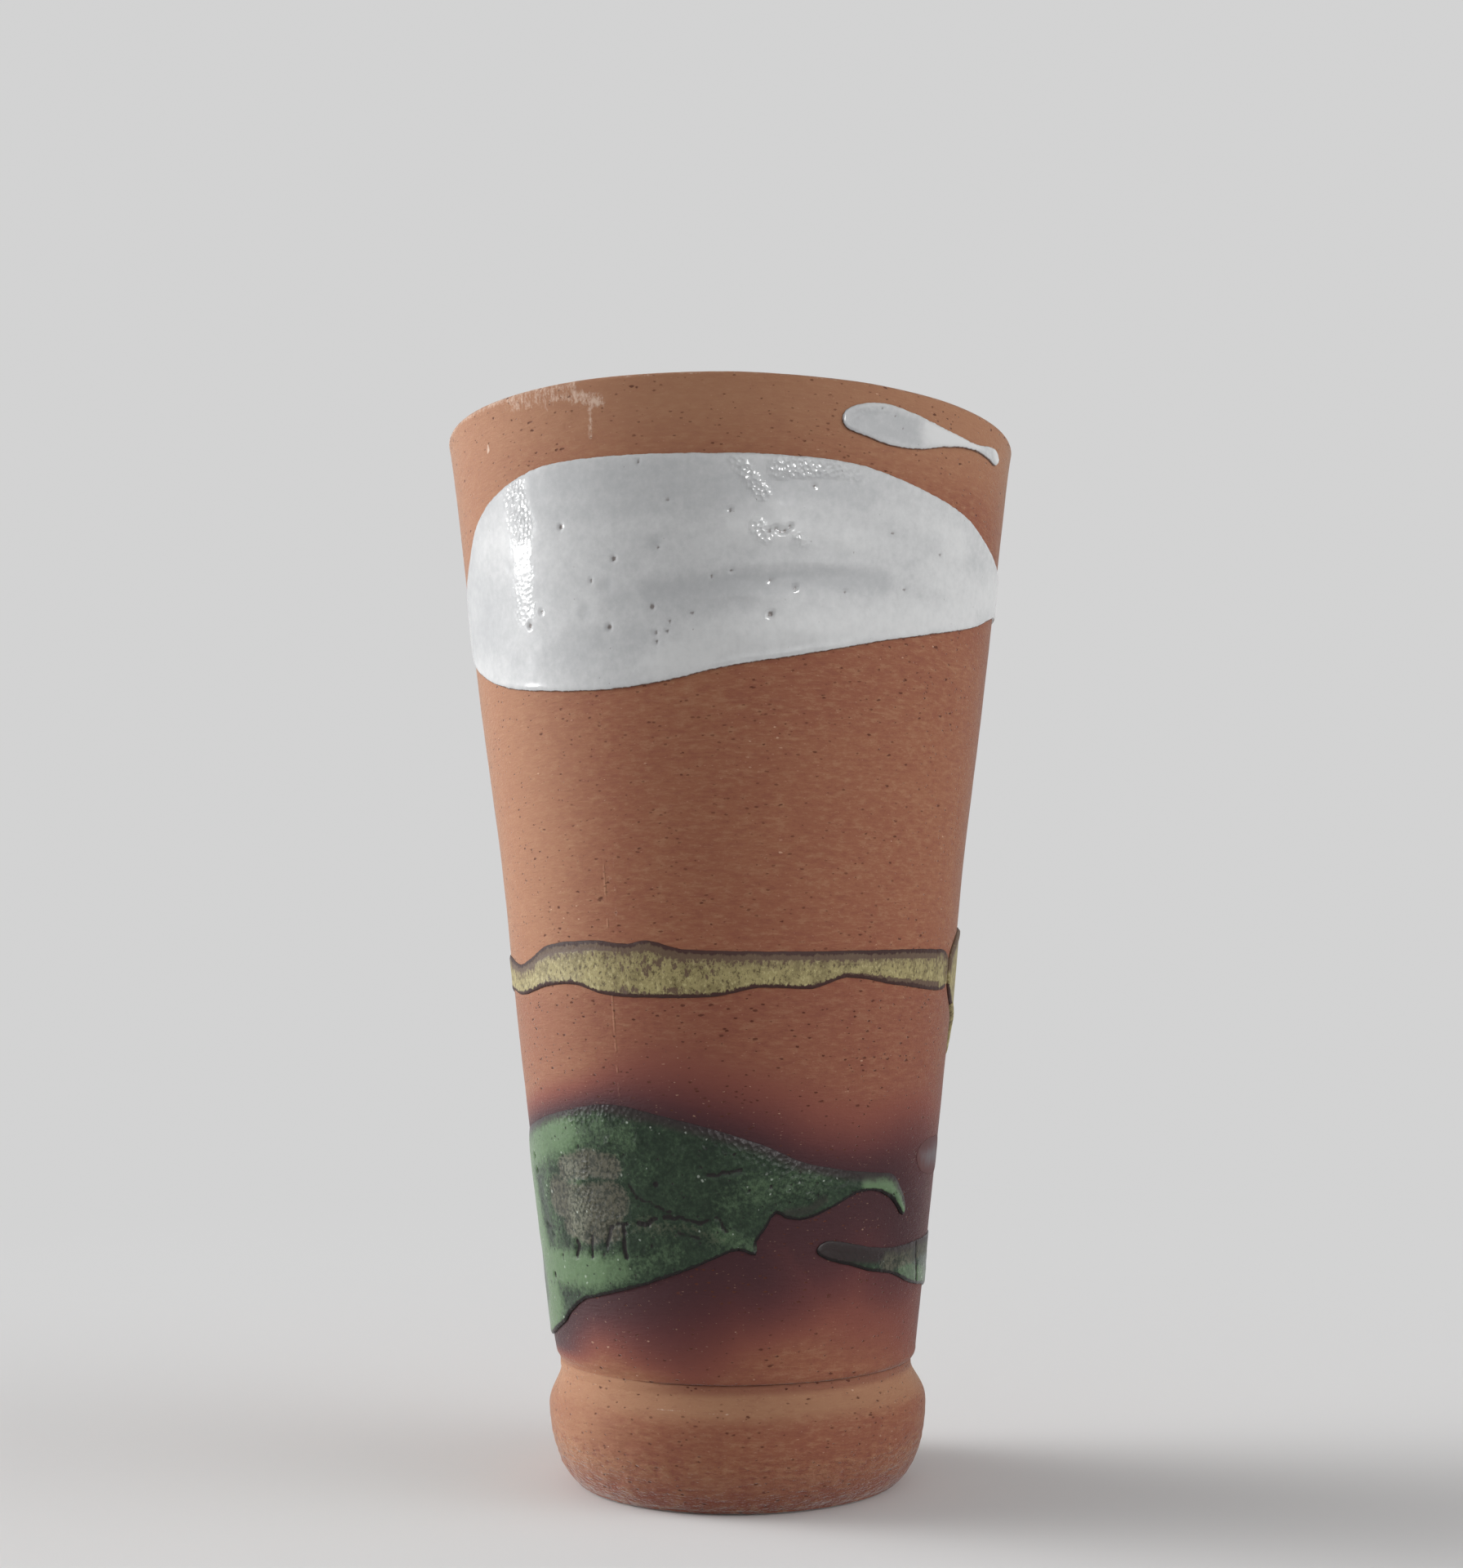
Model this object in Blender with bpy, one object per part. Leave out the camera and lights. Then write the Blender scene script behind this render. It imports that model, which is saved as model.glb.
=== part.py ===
"""A tapered pottery vase of bare fired clay on a rolled foot, with a clear glaze lining inside and
white, ochre and green glaze poured over the outside in separate patches.

Metres, +Z up, the origin at the middle of the base. Angles round the vase are in degrees from the
front (-Y) towards +X. Each piece a potter makes is its own closed solid, and each coat of glaze lies
a small gap off the clay that carries it.
"""

import math

import bmesh
import bpy
from mathutils import Vector

# The tapered wall, outside
HEIGHT = 0.200
LIP_RADIUS = 0.0564
NECK_RADIUS = 0.0344
WAIST_HEIGHT = 0.116
WAIST_DEPTH = 0.00055
WAIST_REACH = 0.022

# The lip
LIP_THICKNESS = 0.0052
LIP_OUTER_ROUND = 0.0010
LIP_INNER_ROUND = 0.0020
LIP_FLARE = 0.00035
LIP_FLARE_REACH = 0.003
LIP_SLANT = 0.0025  # how much higher the lip stands at -X than at +X
LIP_SLANT_REACH = 0.060  # the slant fades out this far below the lip

# The crease and the joint between the wall and the foot
GROOVE_DEPTH = 0.0008  # how far the crease cuts in below the neck
GROOVE_HEIGHT = 0.0013  # the foot stands straight this far below the joint
NECK_ROUND_HEIGHT = 0.0019
NECK_WALL = 0.0066  # clay between the crease and the bore
SHOULDER_LAND = 0.0026  # top of the foot, outside the seat of the wall's tenon
TENON_LENGTH = 0.0040
JOINT_GAP = 0.0003

# The rolled foot
FOOT_HEIGHT = 0.023
FOOT_SWELL = 0.0017  # how far the foot bulges out past the neck
FOOT_UNDERCUT = 0.0068  # how far it draws in again to the flat base
FOOT_BELLY_HEIGHT = 0.0142
FOOT_UNDER_FULLNESS = 1.9  # 1 is a straight bevel, 2 an ellipse
FOOT_SHOULDER_FULLNESS = 1.2  # 1 is an even S-curve

# The floor slab
FLOOR_THICKNESS = 0.009
COVE_RADIUS = 0.004
COVE_EDGE = 0.0008

# What follows from the sizes above
GROOVE_RADIUS = NECK_RADIUS - GROOVE_DEPTH
BORE_RADIUS = GROOVE_RADIUS - NECK_WALL
SEAT_RADIUS = GROOVE_RADIUS - SHOULDER_LAND
TENON_RADIUS = SEAT_RADIUS - JOINT_GAP
FOOT_RADIUS = NECK_RADIUS + FOOT_SWELL
FOOT_BASE_RADIUS = FOOT_RADIUS - FOOT_UNDERCUT
SLAB_RADIUS = BORE_RADIUS - JOINT_GAP
COVE_CENTRE = (SLAB_RADIUS - COVE_EDGE - COVE_RADIUS, FLOOR_THICKNESS + COVE_RADIUS)

# The glaze
GLAZE_GAP = 0.0003
LINING_THICKNESS = 0.0005
LINING_BELOW_LIP = 0.006
WHITE_POUR_THICKNESS = 0.0005
WHITE_DRIP_THICKNESS = 0.0004
OCHRE_BAND_THICKNESS = 0.0004
OCHRE_SPLASH_THICKNESS = 0.0005
GREEN_POOL_THICKNESS = 0.0005
GREEN_STREAK_THICKNESS = 0.0004
SPOT_THICKNESS = 0.0004
GLAZE_EDGE_WIDTH = 0.0004  # the bevel where a coat thins to its rim
GLAZE_RIM_SHARE = 0.4  # a rim's height as a share of the coat's thickness

# How finely curved shapes are cut
SEGMENTS = 60
ROW_SPACING = 0.018
OUTLINE_STEP = 0.004
SNAP = 0.00003

# Outlines of the poured glaze, as (degrees, height). A height is in thousandths of the wall's own
# height above the foot, so each coat keeps its place on a wall of another size.
WHITE_POUR = (
    (-84, 789), (-79.5, 823), (-71, 853), (-64, 881), (-55.5, 901), (-41, 919), (-27, 921),
    (-6, 919), (12, 919), (25, 916), (39.5, 903), (55, 887), (63, 873), (73, 859), (86, 842),
    (97, 819), (97, 808), (78.5, 800), (61.5, 774), (45, 755), (33.5, 743), (15, 723), (-2, 709),
    (-14, 697), (-28, 692), (-47, 700), (-57, 709), (-68, 726), (-79.5, 753),
)
WHITE_DRIP = (
    (21, 958), (21.7, 969), (25, 977), (30, 981), (38, 976), (45, 970), (55.5, 967), (61.5, 972),
    (65, 973), (66.7, 966), (65.8, 957), (62, 958), (57, 960), (50.5, 957), (45, 951), (38, 942),
    (32, 940), (26, 945), (22.2, 950),
)
OCHRE_BAND = (
    (-79, 430), (-68, 421), (-60, 427), (-51, 440), (-35, 443), (-25.5, 439), (-20.5, 442),
    (-12, 433), (12, 430), (39, 432), (60, 434), (67.9, 430), (68.8, 411), (67.6, 393), (45.5, 396),
    (28, 404), (22.5, 397), (19, 393), (6, 394), (-4, 386), (-20, 385), (-33, 389), (-42, 399),
    (-52, 398), (-67, 389), (-80, 395), (-96, 390), (-118, 399), (-140, 393), (-162, 387),
    (-184, 396), (-206, 391), (-228, 396), (-241.5, 396), (-243.5, 413), (-241.5, 430), (-225, 432),
    (-200, 427), (-180, 435), (-158, 432), (-136, 426), (-114, 435), (-96, 434),
)
OCHRE_SPLASH = (
    (69.6, 410), (71, 430), (76, 446), (83, 457), (91, 460), (98, 450), (105, 445), (111, 432),
    (113, 413), (110, 393), (104, 385), (100, 361), (96.8, 327), (93.8, 319), (90.8, 333),
    (87, 352), (82, 362), (74, 382), (70.7, 396),
)
GREEN_POOL = (
    (-84, 243), (-68, 256), (-53, 268), (-34, 278), (-18, 267), (-4, 253), (8, 238), (18, 221),
    (31, 211), (43, 206), (48, 203), (51.5, 191), (54.8, 174), (54.2, 160), (51, 168), (47.5, 179),
    (41, 188), (34.5, 187), (26.7, 174), (19, 164), (13.6, 166), (11, 171), (8, 154), (5.8, 143),
    (5.6, 130), (1, 135), (-4.5, 128), (-12, 116), (-28, 96), (-42, 83), (-49, 77), (-57, 61),
    (-62.5, 48), (-75, 31), (-84, 26), (-92, 37), (-98, 68), (-106, 107), (-118, 147), (-127, 186),
    (-124, 226), (-110, 246), (-96, 240),
)
GREEN_STREAK = (
    (22.7, 133), (25.5, 141), (31, 139), (40, 132), (50, 128), (67, 130), (88, 131), (103, 121),
    (110.5, 101), (106, 79), (92, 71), (80, 77), (62.5, 87), (50.5, 101), (40, 108), (31.5, 117),
    (25, 124),
)
BLUE_GREY_SPOT = (
    (59.5, 220), (63, 232), (71, 236), (81, 234), (88, 218), (85, 201), (77, 196), (68, 198),
    (62, 205),
)

# Finishes: linear colour, roughness
CLAY = ("fired_clay", (0.36, 0.165, 0.10), 0.85)
CLEAR = ("clear_lining_glaze", (0.22, 0.09, 0.05), 0.15)
WHITE = ("white_glaze", (0.62, 0.62, 0.61), 0.2)
OCHRE = ("ochre_glaze", (0.36, 0.28, 0.10), 0.45)
GREEN = ("green_glaze", (0.09, 0.17, 0.08), 0.25)
BLUE_GREY = ("blue_grey_glaze", (0.30, 0.31, 0.34), 0.35)


def clear_scene():
    """Removes whatever the scene holds."""
    for obj in list(bpy.data.objects):
        bpy.data.objects.remove(obj, do_unlink=True)


def finish_material(finish):
    """The Principled material of one finish, made once."""
    name, colour, roughness = finish
    material = bpy.data.materials.get(name)
    if material is None:
        material = bpy.data.materials.new(name)
        material.use_nodes = True
        shader = material.node_tree.nodes["Principled BSDF"]
        shader.inputs["Base Color"].default_value = (*colour, 1.0)
        shader.inputs["Roughness"].default_value = roughness
        shader.inputs["Metallic"].default_value = 0.0
        material.diffuse_color = (*colour, 1.0)
    return material


def add_object(name, bm, finish):
    """Turns a closed bmesh into a named, smooth-shaded object with its own finish."""
    bmesh.ops.recalc_face_normals(bm, faces=bm.faces[:])
    mesh = bpy.data.meshes.new(name)
    bm.to_mesh(mesh)
    bm.free()
    mesh.materials.append(finish_material(finish))
    mesh.shade_smooth()
    mesh.set_sharp_from_angle(angle=math.radians(35))
    obj = bpy.data.objects.new(name, mesh)
    bpy.context.scene.collection.objects.link(obj)
    return obj


def wall_radius(z):
    """Outer radius of the tapered wall, which draws in at its waist and flares at its lip."""
    up = (z - FOOT_HEIGHT) / (HEIGHT - FOOT_HEIGHT)
    cone = NECK_RADIUS + (LIP_RADIUS - LIP_FLARE - NECK_RADIUS) * up
    waist = WAIST_DEPTH * math.exp(-(((z - WAIST_HEIGHT) / WAIST_REACH) ** 2))
    flare = LIP_FLARE * math.exp((z - HEIGHT) / LIP_FLARE_REACH)
    return cone - waist + flare


def inside_radius(z):
    """Inner radius of the wall, a plain cone from the foot's bore to the inside of the lip."""
    up = max(0.0, (z - FOOT_HEIGHT) / (HEIGHT - FOOT_HEIGHT))
    return BORE_RADIUS + (LIP_RADIUS - LIP_THICKNESS - BORE_RADIUS) * up


def settle(bm):
    """Slants the lip: points near the top rise at -X and sink at +X, as the pot did in the kiln."""
    for vert in bm.verts:
        depth = (HEIGHT - vert.co.z) / LIP_SLANT_REACH
        share = min(1.0, max(0.0, 1.0 - depth))
        share = share * share * (3.0 - 2.0 * share)
        vert.co.z -= share * LIP_SLANT / 2.0 * vert.co.x / LIP_RADIUS


def rows(low, high):
    """Evenly spaced heights from low to high, both included."""
    count = max(1, math.ceil((high - low) / ROW_SPACING))
    return [low + (high - low) * i / count for i in range(count + 1)]


def wall_rows():
    """The heights at which the outer wall is cut, between its rounded lower edge and its lip."""
    return rows(FOOT_HEIGHT + NECK_ROUND_HEIGHT, HEIGHT - LIP_OUTER_ROUND)


def arc(centre, radius, start, end, steps):
    """Points (r, z) on a circle's arc, with angles in degrees from +r towards +z."""
    points = []
    for i in range(steps + 1):
        turn = math.radians(start + (end - start) * i / steps)
        points.append((centre[0] + radius * math.cos(turn), centre[1] + radius * math.sin(turn)))
    return points


def roll(inner, outer, near, far, fullness, steps):
    """Points (r, z) from (inner, far) out to (outer, near) along a superellipse quarter."""
    points = []
    for i in range(steps + 1):
        turn = math.pi / 2.0 * i / steps
        across = math.sin(turn) ** (2.0 / fullness)
        along = max(0.0, math.cos(turn)) ** (2.0 / fullness)
        points.append((inner + (outer - inner) * across, near + (far - near) * along))
    return points


def shoulder(inner, outer, low, high, fullness, steps):
    """Points (r, z) on an S-curve from (outer, low) up to (inner, high)."""
    points = []
    for i in range(steps + 1):
        share = i / steps
        out = 0.5 + 0.5 * math.cos(math.pi * share**fullness)
        points.append((inner + (outer - inner) * out, low + (high - low) * share))
    return points


def turned(name, section, finish, on_axis=False):
    """Spins an outline of (r, z) points round Z. An outline on the axis starts and ends there."""
    bm = bmesh.new()
    verts = [bm.verts.new((r, 0.0, z)) for r, z in section]
    edges = [bm.edges.new(pair) for pair in zip(verts, verts[1:])]
    if not on_axis:
        edges.append(bm.edges.new((verts[-1], verts[0])))
    bmesh.ops.spin(
        bm, geom=verts + edges, cent=(0.0, 0.0, 0.0), axis=(0.0, 0.0, 1.0),
        angle=2.0 * math.pi, steps=SEGMENTS, use_merge=True,
    )
    bmesh.ops.remove_doubles(bm, verts=bm.verts[:], dist=1e-6)
    settle(bm)
    return add_object(name, bm, finish)


def build_floor_slab():
    """The base disc, whose top turns up at the edge in a cove."""
    section = [(0.0, 0.0), (SLAB_RADIUS, 0.0), (SLAB_RADIUS, FLOOR_THICKNESS + COVE_RADIUS)]
    section += arc(COVE_CENTRE, COVE_RADIUS, 0, -90, 4)
    section.append((0.0, FLOOR_THICKNESS))
    return turned("floor_slab", section, CLAY, on_axis=True)


def build_foot_band():
    """The rolled foot, with a rebate inside its shoulder where the wall's tenon seats."""
    top = FOOT_HEIGHT - JOINT_GAP
    seat_height = FOOT_HEIGHT - TENON_LENGTH - JOINT_GAP
    under = roll(FOOT_BASE_RADIUS, FOOT_RADIUS, FOOT_BELLY_HEIGHT, 0.0, FOOT_UNDER_FULLNESS, 8)
    crease = FOOT_HEIGHT - GROOVE_HEIGHT
    section = [(BORE_RADIUS, 0.0)] + under
    section += shoulder(
        GROOVE_RADIUS, FOOT_RADIUS, FOOT_BELLY_HEIGHT, crease, FOOT_SHOULDER_FULLNESS, 7
    )[1:]
    section += [(GROOVE_RADIUS, top), (SEAT_RADIUS, top)]
    section += [(SEAT_RADIUS, seat_height), (BORE_RADIUS, seat_height)]
    return turned("foot_band", section, CLAY)


def build_body_wall():
    """The tall wall: rounded lower edge, tapered outside, rounded lip, inside cone and tenon."""
    edge_top = FOOT_HEIGHT + NECK_ROUND_HEIGHT
    edge = roll(GROOVE_RADIUS, wall_radius(edge_top), edge_top, FOOT_HEIGHT, 2.0, 3)
    outside = [(wall_radius(z), z) for z in wall_rows()]
    shoulder_radius = wall_radius(HEIGHT - LIP_OUTER_ROUND) - LIP_OUTER_ROUND
    outer_round = arc((shoulder_radius, HEIGHT - LIP_OUTER_ROUND), LIP_OUTER_ROUND, 0, 90, 3)
    hollow_radius = inside_radius(HEIGHT - LIP_INNER_ROUND) + LIP_INNER_ROUND
    inner_round = arc((hollow_radius, HEIGHT - LIP_INNER_ROUND), LIP_INNER_ROUND, 90, 180, 4)
    inside = [(inside_radius(z), z) for z in rows(FOOT_HEIGHT, HEIGHT - LIP_INNER_ROUND)]
    section = edge[:-1] + outside[:-1] + outer_round + inner_round
    section += list(reversed(inside))[1:]
    tenon_end = FOOT_HEIGHT - TENON_LENGTH
    section += [(BORE_RADIUS, tenon_end), (TENON_RADIUS, tenon_end), (TENON_RADIUS, FOOT_HEIGHT)]
    return turned("body_wall", section, CLAY)


def lining_path(offset):
    """Points (r, z) of the inside of the clay, moved inwards by offset, from the axis to the lip."""
    cove_top = COVE_CENTRE[1]
    path = [(0.0, FLOOR_THICKNESS + offset)]
    path += arc(COVE_CENTRE, COVE_RADIUS - offset, -90, 0, 3)
    path.append((BORE_RADIUS - offset, cove_top + (FOOT_HEIGHT - cove_top) / 3.0))
    top = HEIGHT - LINING_BELOW_LIP
    path += [(inside_radius(z) - offset, z) for z in rows(FOOT_HEIGHT, top)]
    return path


def build_inner_glaze_lining():
    """The thin cup of clear glaze that makes the porous clay hold water."""
    outer = lining_path(GLAZE_GAP)
    inner = lining_path(GLAZE_GAP + LINING_THICKNESS)
    section = outer + list(reversed(inner))
    return turned("inner_glaze_lining", section, CLEAR, on_axis=True)


def smooth_loop(corners):
    """A closed curve through the corners, cut into steps of about OUTLINE_STEP.

    Each span is a cubic whose end slopes follow the neighbouring corners (Catmull-Rom)."""
    points = []
    count = len(corners)
    for i in range(count):
        before, start = corners[i - 1], corners[i]
        end, after = corners[(i + 1) % count], corners[(i + 2) % count]
        span = (end - start).length
        leave = (end - before) * span / max(span, (end - before).length)
        arrive = (after - start) * span / max(span, (after - start).length)
        steps = max(1, round(span / OUTLINE_STEP))
        for k in range(steps):
            t = k / steps
            points.append(
                start * (2 * t**3 - 3 * t**2 + 1)
                + leave * (t**3 - 2 * t**2 + t)
                + end * (3 * t**2 - 2 * t**3)
                + arrive * (t**3 - t**2)
            )
    return points


def cut(bm, point, normal):
    """Splits every face that crosses a plane."""
    geom = bm.verts[:] + bm.edges[:] + bm.faces[:]
    bmesh.ops.bisect_plane(bm, geom=geom, dist=SNAP, plane_co=point, plane_no=normal)


def cut_to_wall(bm, reach):
    """Cuts a flat sheet where the wall behind it has the edges of its facets."""
    facet = 2.0 * math.pi / SEGMENTS * reach
    low = min(vert.co.x for vert in bm.verts)
    high = max(vert.co.x for vert in bm.verts)
    for i in range(math.ceil(low / facet), math.floor(high / facet) + 1):
        cut(bm, Vector((i * facet, 0.0, 0.0)), Vector((1.0, 0.0, 0.0)))
    for z in wall_rows():
        cut(bm, Vector((0.0, 0.0, z)), Vector((0.0, 0.0, 1.0)))


def wrap_on_wall(bm, reach):
    """Bends a flat sheet round the wall: X becomes the way round, and -Y the way out."""
    for vert in bm.verts:
        turn = vert.co.x / reach
        radius = wall_radius(vert.co.z) + GLAZE_GAP - vert.co.y
        vert.co.x = radius * math.sin(turn)
        vert.co.y = -radius * math.cos(turn)


def poured_glaze(name, outline, thickness, finish):
    """A coat of glaze with a flowing outline, laid on the wall. Its rim is low and bevels up to
    the full thickness."""
    wall = (HEIGHT - FOOT_HEIGHT) / 1000.0
    heights = [FOOT_HEIGHT + height * wall for _, height in outline]
    reach = wall_radius((min(heights) + max(heights)) / 2.0)
    corners = [
        Vector((math.radians(turn) * reach, 0.0, z)) for (turn, _), z in zip(outline, heights)
    ]
    bm = bmesh.new()
    sheet = bm.faces.new([bm.verts.new(point) for point in smooth_loop(corners)])
    rim = thickness * GLAZE_RIM_SHARE
    raised = bmesh.ops.extrude_face_region(bm, geom=[sheet], use_keep_orig=True)["geom"]
    bmesh.ops.translate(
        bm, verts=[e for e in raised if isinstance(e, bmesh.types.BMVert)], vec=(0.0, -rim, 0.0)
    )
    top = next(e for e in raised if isinstance(e, bmesh.types.BMFace))
    bmesh.ops.inset_region(bm, faces=[top], thickness=GLAZE_EDGE_WIDTH, use_boundary=True)
    bmesh.ops.translate(bm, verts=top.verts[:], vec=(0.0, rim - thickness, 0.0))
    cut_to_wall(bm, reach)
    bmesh.ops.triangulate(bm, faces=bm.faces[:])
    wrap_on_wall(bm, reach)
    settle(bm)
    return add_object(name, bm, finish)


def build_glaze():
    """Every coat of glaze on the outside, from the lip down."""
    poured_glaze("white_glaze_drip", WHITE_DRIP, WHITE_DRIP_THICKNESS, WHITE)
    poured_glaze("white_glaze_pour", WHITE_POUR, WHITE_POUR_THICKNESS, WHITE)
    poured_glaze("ochre_glaze_band", OCHRE_BAND, OCHRE_BAND_THICKNESS, OCHRE)
    poured_glaze("ochre_glaze_splash", OCHRE_SPLASH, OCHRE_SPLASH_THICKNESS, OCHRE)
    poured_glaze("green_glaze_pool", GREEN_POOL, GREEN_POOL_THICKNESS, GREEN)
    poured_glaze("green_glaze_streak", GREEN_STREAK, GREEN_STREAK_THICKNESS, GREEN)
    poured_glaze("blue_grey_glaze_spot", BLUE_GREY_SPOT, SPOT_THICKNESS, BLUE_GREY)


def main():
    clear_scene()
    build_floor_slab()
    build_foot_band()
    build_body_wall()
    build_inner_glaze_lining()
    build_glaze()


main()
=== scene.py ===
"""A tapered pottery vase of bare fired clay with poured glaze, dressed over its solids.

Metres, +Z up, the origin at the middle of the base. Angles round the vase are in degrees from the
front (-Y) towards +X. The outlines of the glaze give heights in thousandths of the wall's height
above the foot, and the marks on it give them in millimetres above the table.
"""

from __future__ import annotations

import logging
import math
from dataclasses import dataclass, field
from enum import Enum
from typing import Any, Callable, Iterable, NamedTuple, Sequence

import bmesh
import bpy
from mathutils import Matrix, Vector, kdtree, noise


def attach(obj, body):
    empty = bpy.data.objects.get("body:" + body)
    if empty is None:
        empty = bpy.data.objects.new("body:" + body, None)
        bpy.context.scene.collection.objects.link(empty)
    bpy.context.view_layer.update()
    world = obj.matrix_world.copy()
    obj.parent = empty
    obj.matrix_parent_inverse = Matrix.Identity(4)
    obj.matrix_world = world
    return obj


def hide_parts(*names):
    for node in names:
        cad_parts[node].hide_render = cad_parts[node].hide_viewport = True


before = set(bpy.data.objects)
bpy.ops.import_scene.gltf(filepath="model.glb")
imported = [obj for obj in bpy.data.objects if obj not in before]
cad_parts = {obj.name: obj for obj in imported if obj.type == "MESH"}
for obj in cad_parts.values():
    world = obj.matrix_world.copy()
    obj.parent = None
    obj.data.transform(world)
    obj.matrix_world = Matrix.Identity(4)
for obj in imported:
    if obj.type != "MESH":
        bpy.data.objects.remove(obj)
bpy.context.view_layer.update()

log = logging.getLogger("vase")

MM = 0.001
NEAR = 0.0001  # how close to an edge of the shape still counts as on it
TINY = 1e-6
WANDER_SEED = 5
BODY = "root"
NODES = {
    "white_pour": "white_glaze_pour",
    "white_drip": "white_glaze_drip",
    "ochre_band": "ochre_glaze_band",
    "ochre_splash": "ochre_glaze_splash",
    "green_pool": "green_glaze_pool",
    "green_streak": "green_glaze_streak",
    "blue_grey_film": "blue_grey_glaze_spot",
}

Place = tuple[float, float]
Colour = tuple[float, float, float]


def smoothstep(value: float) -> float:
    """Eases a value between 0 and 1."""
    value = min(1.0, max(0.0, value))
    return value * value * (3.0 - 2.0 * value)


class Fade(NamedTuple):
    """A soft step from 0 at its start to 1 at start plus reach, which may lie below it."""

    start: float
    reach: float

    def at(self, value: float) -> float:
        """How far the step has come at a value."""
        return smoothstep((value - self.start) / self.reach)


def polar(point: Vector) -> Place:
    """The way round from the front, in radians, and the distance from the axis."""
    return math.atan2(point.x, -point.y), math.hypot(point.x, point.y)


@dataclass(frozen=True)
class PotForm:
    """The turned outline of the clay, as the solids have it, with the marks of turning."""

    height: float = 0.200
    lip_radius: float = 0.0564
    neck_radius: float = 0.0344
    waist_height: float = 0.116
    waist_depth: float = 0.00055
    waist_reach: float = 0.022
    lip_thickness: float = 0.0052
    lip_flare: float = 0.00035
    lip_flare_reach: float = 0.003
    lip_slant: float = 0.0025
    lip_slant_reach: float = 0.060
    lip_wobble: float = 0.00012
    lip_wobbles: float = 2.2
    foot_height: float = 0.023
    groove_radius: float = 0.0336
    groove_height: float = 0.0013
    bore_radius: float = 0.0270
    ring_depth: float = 0.00007
    ring_pitch: float = 0.0060

    def outer(self, z: float) -> float:
        """Outer radius of the wall, which draws in at its waist and flares at its lip.

        Args:
            z: height above the table.

        Returns:
            The radius, turning marks left out.
        """
        up = (z - self.foot_height) / (self.height - self.foot_height)
        cone = self.neck_radius + (self.lip_radius - self.lip_flare - self.neck_radius) * up
        waist = self.waist_depth * math.exp(-(((z - self.waist_height) / self.waist_reach) ** 2))
        return cone - waist + self.lip_flare * math.exp((z - self.height) / self.lip_flare_reach)

    def inner(self, z: float) -> float:
        """Inner radius of the wall, a cone from the bore of the foot to the inside of the lip."""
        up = max(0.0, (z - self.foot_height) / (self.height - self.foot_height))
        return self.bore_radius + (self.lip_radius - self.lip_thickness - self.bore_radius) * up

    def rings(self, turn: float, z: float) -> float:
        """How deep the potter's fingers pressed in at a turn (radians) and a height."""
        spot = Vector((0.5 * math.sin(turn), 0.5 * math.cos(turn), z / self.ring_pitch))
        return self.ring_depth * (0.5 + 0.5 * noise.noise(spot))

    def settle(self, point: Vector) -> None:
        """Slants the lip, which stands higher at -X, and lets it waver a little.

        Args:
            point: a point of the pot as it was turned, which is moved in place.
        """
        share = smoothstep(1.0 - (self.height - point.z) / self.lip_slant_reach)
        around = Vector((point.x, point.y, 0.0)) / self.lip_radius
        waver = self.lip_wobble * noise.noise(around * self.lip_wobbles)
        point.z -= share * (self.lip_slant / 2.0 * point.x / self.lip_radius + abs(waver))

    def on_wall(self, turn: float, z: float, lift: float = 0.0) -> Vector:
        """A point on the wall, turning marks included.

        Args:
            turn: radians from the front towards +X.
            z: height before the lip settled.
            lift: how far off the clay's skin.

        Returns:
            The settled point.
        """
        radius = self.outer(z) - self.rings(turn, z) + lift
        point = Vector((radius * math.sin(turn), -radius * math.cos(turn), z))
        self.settle(point)
        return point


FORM = PotForm()


def wall_height(share: float) -> float:
    """Metres above the table of a height in thousandths of the wall."""
    return FORM.foot_height + (FORM.height - FORM.foot_height) * share / 1000.0


def arc(centre: Place, radius: float, start: float, end: float, steps: int) -> list[Place]:
    """Points (r, z) on an arc, with angles in degrees from +r towards +z."""
    turns = (math.radians(start + (end - start) * i / steps) for i in range(steps + 1))
    return [(centre[0] + radius * math.cos(t), centre[1] + radius * math.sin(t)) for t in turns]


def rounded(share: float, fullness: float) -> Place:
    """How far out and in a superellipse quarter is, at a share of its way out."""
    turn = math.pi / 2.0 * share
    return math.sin(turn) ** (2.0 / fullness), max(0.0, math.cos(turn)) ** (2.0 / fullness)


def shouldered(share: float, fullness: float) -> Place:
    """How far out and in an S is, at a share of its way in."""
    return 0.5 + 0.5 * math.cos(math.pi * share**fullness), share


def curve(
    inner: Place, outer: Place, steps: int, shape: Callable[..., Place], fullness: float
) -> list[Place]:
    """A curve between two corners of an outline.

    Args:
        inner: the corner (r, z) nearer the axis.
        outer: the other corner.
        steps: how many pieces it has.
        shape: rounded or shouldered.
        fullness: how full the shape is.

    Returns:
        Its points (r, z).
    """
    shares = (shape(i / steps, fullness) for i in range(steps + 1))
    width, drop = outer[0] - inner[0], inner[1] - outer[1]
    return [(inner[0] + width * out, outer[1] + drop * back) for out, back in shares]


def rise(low: float, high: float, spacing: float) -> list[float]:
    """Evenly spaced heights from low to high, both included."""
    count = max(1, math.ceil((high - low) / spacing))
    return [low + (high - low) * i / count for i in range(count + 1)]


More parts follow.
